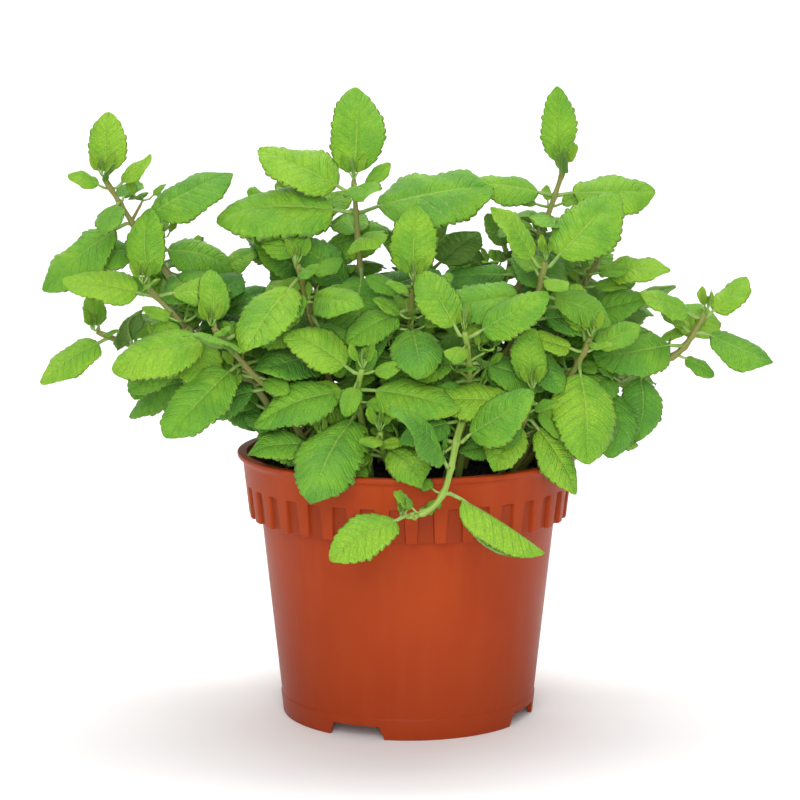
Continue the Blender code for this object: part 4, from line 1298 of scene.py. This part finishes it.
def blade(leaf, habit):
    """Points, four-sided faces, the places (s, t) of the points, and how many faces the upper skin has."""
    length = leaf["length"]
    s, t, half, saw = toothed_places(leaf, habit)
    centre, hand, across, up = directions(leaf, habit, s, t)
    out = hand * (t * (half + saw) + habit["sway"] * length * np.sin(np.pi * s))[..., None]
    height = skin_height(s, t, half, length, habit)[..., None]
    upper = centre + across * out + up * height
    thick = BLADE_THICKNESS * min(1, length / (20 * MM)) * (1 - 0.5 * t * t)[..., None]
    lower = upper - up * thick
    count = upper.shape[0] * upper.shape[1]
    top = np.arange(count).reshape(upper.shape[:2])
    under = top.copy()
    inner = np.zeros(top.shape, bool)
    inner[1:-1, 1:-1] = True
    under[inner] = count + np.arange(inner.sum())
    points = np.concatenate([upper.reshape(-1, 3), lower[inner]])
    places = np.stack([s, t], -1)
    places = np.concatenate([places.reshape(-1, 2), places[inner]])
    upper_faces, lower_faces = (
        np.stack([g[:-1, :-1], g[:-1, 1:], g[1:, 1:], g[1:, :-1]], -1).reshape(-1, 4) for g in (top, under))
    faces = np.concatenate([upper_faces, lower_faces[:, ::-1]])
    return points, faces, places, len(upper_faces)


tried_blade = blade(tried_leaf, tried_habit)
print("one blade:", len(tried_blade[0]), "points,", len(tried_blade[1]), "faces")

# %% [markdown]
# The stalk is a thin tube that starts inside the stem and runs on under the blade as its midrib, thinner
# and thinner. Tubes are also what the stems are made of, so one helper makes them all: it carries a ring
# of radii along a path and closes both ends.

# %% Tubes for stalks and stems
def tube(path, sides, ups, radii, ring):
    """A closed tube. Its ring has an even number of points, each (angle, share of the radius)."""
    angles = np.array([a for a, _ in ring])
    shares = np.array([b for _, b in ring])
    path, sides, ups = (np.array(x, float)[:, None, :] for x in (path, sides, ups))
    radii = np.array(radii)[:, None, None]
    around = sides * np.cos(angles)[None, :, None] + ups * np.sin(angles)[None, :, None]
    points = (path + around * shares[None, :, None] * radii).reshape(-1, 3)
    count, length = len(ring), len(path)
    index = np.arange(count * length).reshape(length, count)
    after = np.roll(index, -1, axis=1)
    quads = np.stack([index[:-1], after[:-1], after[1:], index[1:]], -1).reshape(-1, 4)
    last = (length - 1) * count
    ends = []
    for k in range(1, count - 2, 2):
        ends.append((0, k + 2, k + 1, k))
        ends.append((last, last + k, last + k + 1, last + k + 2))
    return points, np.concatenate([quads, np.array(ends)])


ROUND_SIX = [(math.radians(60 * k), 1.0) for k in range(6)]
MIDRIB_RADII = [(0.08, 0.62), (0.2, 0.52), (0.35, 0.43), (0.5, 0.35), (0.65, 0.27), (0.8, 0.19), (0.9, 0.1)]


def stalk(leaf, habit):
    """The stalk of a leaf, with the midrib under its blade."""
    frames, length = leaf["frames"], leaf["length"]
    small = min(1.0, length / (22 * MM)) * 0.75 + 0.25
    path = [leaf["root"], frames[0][0].lerp(frames[0][0] + frames[0][1] * MM, 0.3), frames[1][0]]
    sides, ups = [frames[0][2]] * 3, [frames[0][3]] * 3
    radii = [0.95 * MM, 0.85 * MM, 0.72 * MM]
    for s, radius in MIDRIB_RADII:
        point, forward, side, face = frames[1 + round(s * (len(frames) - 2))]
        turn = habit["twist"] * s * s
        across = side * math.cos(turn) + face * math.sin(turn)
        up = face * math.cos(turn) - side * math.sin(turn)
        sink = GROOVE * length * (1.15 - s) + (0.25 + radius * 0.5) * small * MM
        sink -= habit["flick"] * length * max(0.0, s - FLICK_STARTS) ** 2
        sway = habit["sway"] * length * math.sin(math.pi * s)
        path.append(point + across * sway - up * sink)
        sides.append(across)
        ups.append(up)
        radii.append(radius * MM)
    return tube(path, sides, ups, [r * small for r in radii], ROUND_SIX)


print("a stalk has", len(stalk(tried_leaf, tried_habit)[0]), "points")

# %% [markdown]
# ### Leaf finishes
# The upper skin is a fresh yellow-green, greener on older leaves, with pale veins and a fine net between
# them. It has a soft waxy sheen. Each point of the mesh carries its place on the leaf, (s, t), so the
# nodes can draw the veins exactly where the geometry has its creases. A `tone` for each leaf shifts the
# green, and a little light passes through the blade.

# %% Masks for the veins
def stripes(tree, value, start, end):
    """A mask that is 1 wherever a value passes a whole number, and fades out from start to end."""
    part = sums(tree, "FRACT", sums(tree, "ADD", value, 8.5))
    gap = sums(tree, "ABSOLUTE", sums(tree, "SUBTRACT", part, 0.5))
    return fade(tree, gap, start, end, 1.0, 0.0)


def vein_masks(tree):
    """Masks of the midrib, of the side veins and of the fine net, from a point's place on the leaf."""
    place = add_node(tree, "ShaderNodeSeparateXYZ", {0: stored(tree, "place", "Vector")})
    spot = add_node(tree, "ShaderNodeTexCoord").outputs["Object"]
    q = sums(tree, "ABSOLUTE", place.outputs[1])
    sweep = sums(tree, "MULTIPLY", sums(tree, "POWER", q, 1.15), VEIN_SWEEP)
    along = sums(tree, "MULTIPLY", sums(tree, "SUBTRACT", place.outputs[0], sweep), float(SIDE_VEINS))
    side = stripes(tree, along, 0.02, 0.15)
    side = sums(tree, "MULTIPLY", side, fade(tree, q, 0.7, 1.0, 1.0, 0.2))
    stray = sums(tree, "MULTIPLY", cloud(tree, spot, 260, 2), 2.6)
    wander = sums(tree, "ADD", sums(tree, "MULTIPLY", along, 2.6), stray)
    between = sums(tree, "MULTIPLY", stripes(tree, wander, 0.05, 0.3), 0.34)
    ridges = sums(tree, "MAXIMUM", side, between)
    width = fade(tree, place.outputs[0], 0.0, 0.9, 0.065, 0.025)
    midrib = fade(tree, sums(tree, "DIVIDE", q, width), 0.4, 1.0, 1.0, 0.0)
    midrib = sums(tree, "MULTIPLY", midrib, fade(tree, place.outputs[0], 0.45, 1.0, 1.0, 0.3))
    cells = add_node(tree, "ShaderNodeTexVoronoi", {"Vector": spot, "Scale": 620.0},
                     feature="DISTANCE_TO_EDGE")
    net = fade(tree, cells.outputs[0], 0.0, 0.16, 1.0, 0.0)
    return midrib, ridges, net, q, spot


print("side veins on each half of a leaf:", SIDE_VEINS)

# %% [markdown]
# The face's colour runs through a ramp of greens, and the veins are laid over it. The same masks sink the
# veins in the bump, on top of the creases that the mesh already has.

# %% Finish of the leaf's face
face_finish, tree, shader = new_finish("leaf_face")
midrib, ridges, net, q, spot = vein_masks(tree)
blotch = cloud(tree, spot, 70, 3, 0.55)
speck = cloud(tree, spot, 1400, 2, 0.6)
shift = fade(tree, blotch, 0.3, 0.7, -0.2, 0.2)
tone = sums(tree, "ADD", stored(tree, "tone", "Fac"), shift)
green = ramp(tree, tone, [(0.0, (0.05, 0.185, 0.026)), (0.35, (0.092, 0.285, 0.028)),
                          (0.7, (0.16, 0.385, 0.026)), (1.0, (0.25, 0.475, 0.03))])
edged = blend_colours(tree, fade(tree, q, 0.9, 1.0, 0, 0.25), green, (0.30, 0.46, 0.06, 1))
netted = blend_colours(tree, sums(tree, "MULTIPLY", net, 0.16), edged, (0.07, 0.22, 0.02, 1))
veined = blend_colours(tree, sums(tree, "MULTIPLY", ridges, 0.14), netted, (0.34, 0.50, 0.09, 1))
veined = blend_colours(tree, sums(tree, "MULTIPLY", midrib, 0.42), veined, (0.40, 0.55, 0.12, 1))
tree.links.new(veined, shader.inputs["Base Color"])
tree.links.new(fade(tree, speck, 0.3, 0.75, 0.42, 0.6), shader.inputs["Roughness"])
crease = sums(tree, "MULTIPLY", sums(tree, "MAXIMUM", ridges, midrib), -1.0)
height = sums(tree, "ADD", crease, sums(tree, "MULTIPLY", net, -0.4))
height = sums(tree, "ADD", height, sums(tree, "MULTIPLY", speck, 0.25))
bump = add_node(tree, "ShaderNodeBump", {"Strength": 0.7, "Distance": 0.0006, "Height": height})
tree.links.new(bump.outputs[0], shader.inputs["Normal"])
shader.inputs["Specular IOR Level"].default_value = 0.2
shader.inputs["Subsurface Weight"].default_value = 0.14
shader.inputs["Subsurface Radius"].default_value = (0.7, 1.0, 0.25)
shader.inputs["Subsurface Scale"].default_value = 0.0012
print("finish:", face_finish.name)

# %% [markdown]
# The underside is paler and matt, because fine hairs and air under the skin scatter the light. Its veins
# stand out instead of sinking in.

# %% Finish of the leaf's back
back_finish, tree, shader = new_finish("leaf_back")
midrib, ridges, net, q, spot = vein_masks(tree)
blotch = cloud(tree, spot, 90, 3, 0.55)
down = cloud(tree, spot, 2200, 2, 0.7)
pale = blend_colours(tree, fade(tree, blotch, 0.3, 0.7), (0.12, 0.26, 0.05, 1), (0.18, 0.33, 0.07, 1))
netted = blend_colours(tree, sums(tree, "MULTIPLY", net, 0.25), pale, (0.24, 0.38, 0.12, 1))
veined = blend_colours(tree, sums(tree, "MULTIPLY", ridges, 0.3), netted, (0.3, 0.45, 0.16, 1))
veined = blend_colours(tree, sums(tree, "MULTIPLY", midrib, 0.6), veined, (0.33, 0.48, 0.17, 1))
tree.links.new(veined, shader.inputs["Base Color"])
tree.links.new(fade(tree, down, 0.3, 0.7, 0.58, 0.76), shader.inputs["Roughness"])
height = sums(tree, "ADD", ridges, sums(tree, "MULTIPLY", net, 0.45))
height = sums(tree, "ADD", height, sums(tree, "MULTIPLY", down, 0.35))
bump = add_node(tree, "ShaderNodeBump", {"Strength": 0.5, "Distance": 0.0004, "Height": height})
tree.links.new(bump.outputs[0], shader.inputs["Normal"])
shader.inputs["Specular IOR Level"].default_value = 0.3
shader.inputs["Subsurface Weight"].default_value = 0.16
shader.inputs["Subsurface Radius"].default_value = (0.7, 1.0, 0.25)
shader.inputs["Subsurface Scale"].default_value = 0.0012
print("finish:", back_finish.name)

# %% [markdown]
# Stalks are pale green and slightly glossy, with fine lengthwise streaks.

# %% Finish of the stalks
stalk_finish, tree, shader = new_finish("leaf_stalk")
spot = add_node(tree, "ShaderNodeTexCoord").outputs["Object"]
streak = cloud(tree, spot, 300, 3, 0.6)
fine = cloud(tree, spot, 1800, 2, 0.6)
shares = fade(tree, streak, 0.35, 0.7)
light_green = blend_colours(tree, shares, (0.17, 0.32, 0.05, 1), (0.29, 0.43, 0.10, 1))
tree.links.new(light_green, shader.inputs["Base Color"])
tree.links.new(fade(tree, fine, 0.3, 0.7, 0.4, 0.58), shader.inputs["Roughness"])
bump = add_node(tree, "ShaderNodeBump", {"Strength": 0.3, "Distance": 0.0003, "Height": fine})
tree.links.new(bump.outputs[0], shader.inputs["Normal"])
shader.inputs["Specular IOR Level"].default_value = 0.4
print("finish:", stalk_finish.name)

# %% [markdown]
# All the leaves of one shoot become one piece. The upper skins wear the face finish, the lower skins the
# back finish, and the stalks their own. Young leaves near a tip are brighter than old ones below.
# One leaf of the shoot that spills over the rim is shut along its midrib, and has its own habit.

# %% Make the leaves of every shoot
NARROW = 0.6  # a leaf with less than this share of the full width is the shut one
OLD_BELOW = 62 * MM  # a leaf this far below its tip is fully grown and darkest
FOLDED = {
    "shut": 2.8,
    "fold": 0.3,
    "roll": 0.15,
    "twist": 0.0,
    "sway": 0.0,
    "wave": 0.008,
    "ripple": 0.0,
    "teeth": 0.25,
    "slim": 1.75,
    "point": 0.55,
    "tone": 0.35,
}


def leaves_piece(plant, chance):
    """One object with all the leaves of a shoot."""
    points, faces, finishes, places, tones = [], [], [], [], []
    start = 0
    for leaf in plant["leaves"]:
        habit = new_habit(chance, leaf["order"])
        if leaf["width"] < NARROW:
            habit.update(FOLDED)
        skin, skin_faces, skin_places, upper = blade(leaf, habit)
        rib, rib_faces = stalk(leaf, habit)
        age = min(1.0, leaf["below"] / OLD_BELOW)
        tone = min(1.0, max(0.0, 0.86 - 0.62 * age + habit["tone"]))
        points += [skin, rib]
        faces += [skin_faces + start, rib_faces + start + len(skin)]
        finishes += [np.zeros(upper, int), np.ones(len(skin_faces) - upper, int), np.full(len(rib_faces), 2)]
        places += [skin_places, np.zeros((len(rib), 2))]
        tones.append(np.full(len(skin) + len(rib), tone))
        start += len(skin) + len(rib)
    finishes_used = [face_finish, back_finish, stalk_finish]
    piece = make_piece("mint_leaves_" + plant["name"], np.concatenate(points).tolist(),
                       np.concatenate(faces).tolist(), finishes_used, "leaf", ["sprig_" + plant["name"]])
    piece.data.polygons.foreach_set("material_index", np.concatenate(finishes).astype(np.int32))
    places = np.concatenate(places)
    carry(piece.data, "place", "FLOAT_VECTOR", np.column_stack([places, np.zeros(len(places))]))
    carry(piece.data, "tone", "FLOAT", np.concatenate(tones))
    piece.data.update()
    return piece


chance = random.Random(41)
total = 0
for plant in plants:
    total += len(leaves_piece(plant, chance).data.polygons)
print("faces of all leaves:", total)

# %% [markdown]
# ## The stems
# A mint stem is square with rounded corners and slightly hollow sides, swollen where the leaves join. It
# is green when young, and flushes olive-brown where it has seen the sun. Each stem is one tube from just
# under the soil to the tip, and its sides face the leaf pairs.

# %% Finish of the stems
stem_finish, tree, shader = new_finish("stem_skin")
grain = stored(tree, "grain", "Vector")
blush = stored(tree, "blush", "Fac")
streak = cloud(tree, grain, 2.2, 3, 0.6)
spot = add_node(tree, "ShaderNodeTexCoord").outputs["Object"]
fine = cloud(tree, spot, 1500, 2, 0.6)
green = blend_colours(tree, fade(tree, streak, 0.35, 0.7), (0.20, 0.34, 0.045, 1), (0.32, 0.45, 0.08, 1))
brown = blend_colours(tree, fade(tree, streak, 0.35, 0.7), (0.13, 0.095, 0.025, 1), (0.25, 0.20, 0.055, 1))
share = fade(tree, sums(tree, "ADD", blush, fade(tree, streak, 0.3, 0.7, -0.25, 0.25)), 0.1, 0.9)
tree.links.new(blend_colours(tree, share, green, brown), shader.inputs["Base Color"])
tree.links.new(fade(tree, fine, 0.3, 0.7, 0.38, 0.55), shader.inputs["Roughness"])
height = sums(tree, "ADD", sums(tree, "MULTIPLY", streak, 0.7), sums(tree, "MULTIPLY", fine, 0.3))
bump = add_node(tree, "ShaderNodeBump", {"Strength": 0.35, "Distance": 0.0004, "Height": height})
tree.links.new(bump.outputs[0], shader.inputs["Normal"])
shader.inputs["Specular IOR Level"].default_value = 0.4
print("finish:", stem_finish.name)

# %% [markdown]
# `stem_tube` runs a square ring down the stem. The stem thins towards its tip and swells at each node.

# %% The tube of a stem
RING_SPACING = 1.6 * MM
SQUARE_RING = [(math.radians(22.5 * k), 1.14 - 0.13 * math.cos(math.radians(90 * k))) for k in range(16)]


def stem_tube(plant):
    """The tube of a stem, with its rings' distances below the tip."""
    stem, nodes = plant["stem"], plant["nodes"]
    first = compass(nodes[0][1])
    whole = stem[1][0]
    rings = int(whole / RING_SPACING)
    belows = np.linspace(whole, 0.0, rings)
    path, sides, ups, radii = [], [], [], []
    for below in belows:
        point, along = stem_at(stem, float(below))
        side = (first - along * first.dot(along)).normalized()
        swell = sum(0.3 * math.exp(-((below - place) / (1.3 * MM)) ** 2) for place in {n[0] for n in nodes})
        taper = 0.62 + 0.42 * min(1.0, below / (60 * MM))
        path.append(point)
        sides.append(side)
        ups.append(along.cross(side))
        radii.append(STEM_HALF_WIDTH * (taper + min(swell, 0.35)))
    root = plant["stem"][0][0]
    path.insert(0, Vector((root.x, root.y, soil_height(root.xy.length) - 3 * MM)))
    sides.insert(0, sides[0])
    ups.insert(0, ups[0])
    radii.insert(0, radii[0] * 1.15)
    return tube(path, sides, ups, radii, SQUARE_RING), np.concatenate([[whole + 3 * MM], belows])


print("rings of the first stem:", len(stem_tube(plants[0])[1]))

# %% [markdown]
# The twigs that carry the side shoots are thin round tubes, and so is the stub on the spilling stem,
# where a side branch was snipped off.

# %% Twigs and the cut stub
TWIG_RADII = [0.8 * MM, 0.7 * MM, 0.62 * MM, 0.6 * MM, 0.35 * MM]
# (distance along the stub, radius) in millimetres. The last rings turn back into the hollow end.
STUB_RINGS = [(0, 1.0), (1.6, 1.0), (3.4, 1.15), (3.7, 0.95), (3.4, 0.7), (2.4, 0.6)]


def twig(low, high):
    """A thin tube between two points."""
    way = (high - low).normalized()
    side = way.cross(Vector((0, 0, 1)))
    side = side.normalized() if side.length > 0.05 else Vector((1, 0, 0))
    count = len(TWIG_RADII)
    path = [low.lerp(high, k / (count - 1)) for k in range(count)]
    return tube(path, [side] * count, [way.cross(side)] * count, TWIG_RADII, ROUND_SIX)


def cut_stub(plant):
    """A short side branch that was snipped off, with a hollow end."""
    start, along = stem_at(plant["stem"], 5 * MM)
    way = (Vector((-0.55, -0.8, -0.25))).normalized()
    side = way.cross(Vector((0, 0, 1))).normalized()
    path = [start + way * reach * MM for reach, _ in STUB_RINGS]
    count = len(path)
    return tube(path, [side] * count, [way.cross(side)] * count, [r * MM for _, r in STUB_RINGS], ROUND_SIX)


print("twigs in all:", sum(len(plant["twigs"]) for plant in plants))

# %% [markdown]
# A stem, its twigs and its stub are one piece. Each point carries its place along the grain, so that the
# streaks run lengthwise whichever way the stem bends, and its blush. The front shoots stay pale green.
# The taller ones behind are browner.

# %% Make the stems
PALE_STEMS = {"front_spill": 0.0, "centre_left": 0.15, "centre_right": 0.25, "bottom_centre": 0.1}
USUAL_BLUSH = 0.6


def stem_piece(plant):
    """One object with a shoot's stem, its twigs and any stub."""
    (points, faces), belows = stem_tube(plant)
    start = len(points)
    all_points, all_faces = [points], [faces]
    grain = [(math.cos(a), math.sin(a), b * 25) for b in belows for a, _ in SQUARE_RING]
    small_tubes = [cut_stub(plant)] if plant["name"] == "front_spill" else []
    small_tubes += [twig(low, high) for low, high in plant["twigs"]]
    for small_points, small_faces in small_tubes:
        all_points.append(small_points)
        all_faces.append(small_faces + start)
        start += len(small_points)
        grain += [(1, 0, 0.2 * k) for k in range(len(small_points))]
    piece = make_piece("mint_stem_" + plant["name"], np.concatenate(all_points).tolist(),
                       np.concatenate(all_faces).tolist(), [stem_finish], "stem", ["stem_" + plant["name"]])
    carry(piece.data, "grain", "FLOAT_VECTOR", np.array(grain))
    blush = PALE_STEMS.get(plant["name"], USUAL_BLUSH)
    carry(piece.data, "blush", "FLOAT", np.full(start, blush))
    return piece


total = 0
for plant in plants:
    total += len(stem_piece(plant).data.polygons)
print("faces of all stems:", total)

# %% [markdown]
# ## Floor, light and camera
# The plant stands on a plain pale floor that curves up behind it. The light is bright, soft and mostly
# from the front: a strong main panel above the camera, a lower one beside it, weak ones at the sides, one
# over the top, one on the backdrop, and a pale sky. With little light from the sides, the roundness of
# the pot and its recesses show.

# %% Floor and backdrop
FLOOR_HALF_WIDTH = 14.0
bm = bmesh.new()
section = [(-14.0, 0.0), (-3.0, 0.0)]
for a in np.linspace(0, math.pi / 2, 12):
    section.append((1.2 + 0.8 * math.sin(a), 0.8 - 0.8 * math.cos(a)))
section.append((2.0, 3.5))
left = [bm.verts.new((-FLOOR_HALF_WIDTH, y, z)) for y, z in section]
right = [bm.verts.new((FLOOR_HALF_WIDTH, y, z)) for y, z in section]
for k in range(len(section) - 1):
    bm.faces.new((left[k], right[k], right[k + 1], left[k + 1]))
floor_mesh = bpy.data.meshes.new("floor")
bm.to_mesh(floor_mesh)
bm.free()
floor_mesh.shade_smooth()
floor_finish, tree, shader = new_finish("pale_floor")
shader.inputs["Base Color"].default_value = (0.93, 0.93, 0.93, 1)
shader.inputs["Roughness"].default_value = 0.9
shader.inputs["Specular IOR Level"].default_value = 0.1
floor_mesh.materials.append(floor_finish)
floor = bpy.data.objects.new("floor", floor_mesh)
bpy.context.scene.collection.objects.link(floor)
print("floor reaches", section[-1])

# %% [markdown]
# Area lights are flat panels, like the soft boxes of a studio. Each one is turned to face its target.

# %% Lights and sky
def panel(name, place, target, size, power):
    """A soft white light that faces a target."""
    lamp = bpy.data.lights.new(name, "AREA")
    lamp.shape = "RECTANGLE"
    lamp.size, lamp.size_y = size
    lamp.energy = power
    made = bpy.data.objects.new(name, lamp)
    made.location = place
    made.rotation_euler = (Vector(target) - Vector(place)).to_track_quat("-Z", "Y").to_euler()
    bpy.context.scene.collection.objects.link(made)


panel("main_light", (-0.1, -1.9, 1.15), (0, 0, 0.13), (1.4, 1.1), 26)
panel("front_light", (0.05, -2.2, 0.4), (0, 0, 0.08), (0.6, 0.5), 13)
panel("left_light", (-1.5, -0.6, 0.9), (0, 0, 0.13), (0.8, 1.1), 0.8)
panel("right_light", (1.5, -0.6, 0.9), (0, 0, 0.13), (0.8, 1.1), 0.8)
panel("top_light", (0, 0.1, 1.8), (0, 0, 0.1), (1.5, 1.5), 9)
panel("backdrop_light", (0, 0.7, 1.9), (0, 1.5, 0.2), (2.5, 0.8), 34)
sky = bpy.data.worlds.new("sky")
sky.use_nodes = True
sky.node_tree.nodes["Background"].inputs["Color"].default_value = (1, 1, 1, 1)
sky.node_tree.nodes["Background"].inputs["Strength"].default_value = 0.3
bpy.context.scene.world = sky
bpy.context.scene.view_settings.view_transform = "Standard"

# %% [markdown]
# The camera stands about a metre away, a little above the pot's rim, with a long lens that keeps the
# pot's sides nearly straight.

# %% Camera
LOOKS_DOWN = 8.77  # degrees
lens = bpy.data.cameras.new("camera")
lens.lens = 121.1  # millimetres
lens.sensor_width = 36
camera = bpy.data.objects.new("camera", lens)
camera.location = (-0.0033, -1.088, 0.297)
camera.rotation_euler = (math.radians(90 - LOOKS_DOWN), 0, 0)
bpy.context.scene.collection.objects.link(camera)
bpy.context.scene.camera = camera
print("camera at", tuple(camera.location))
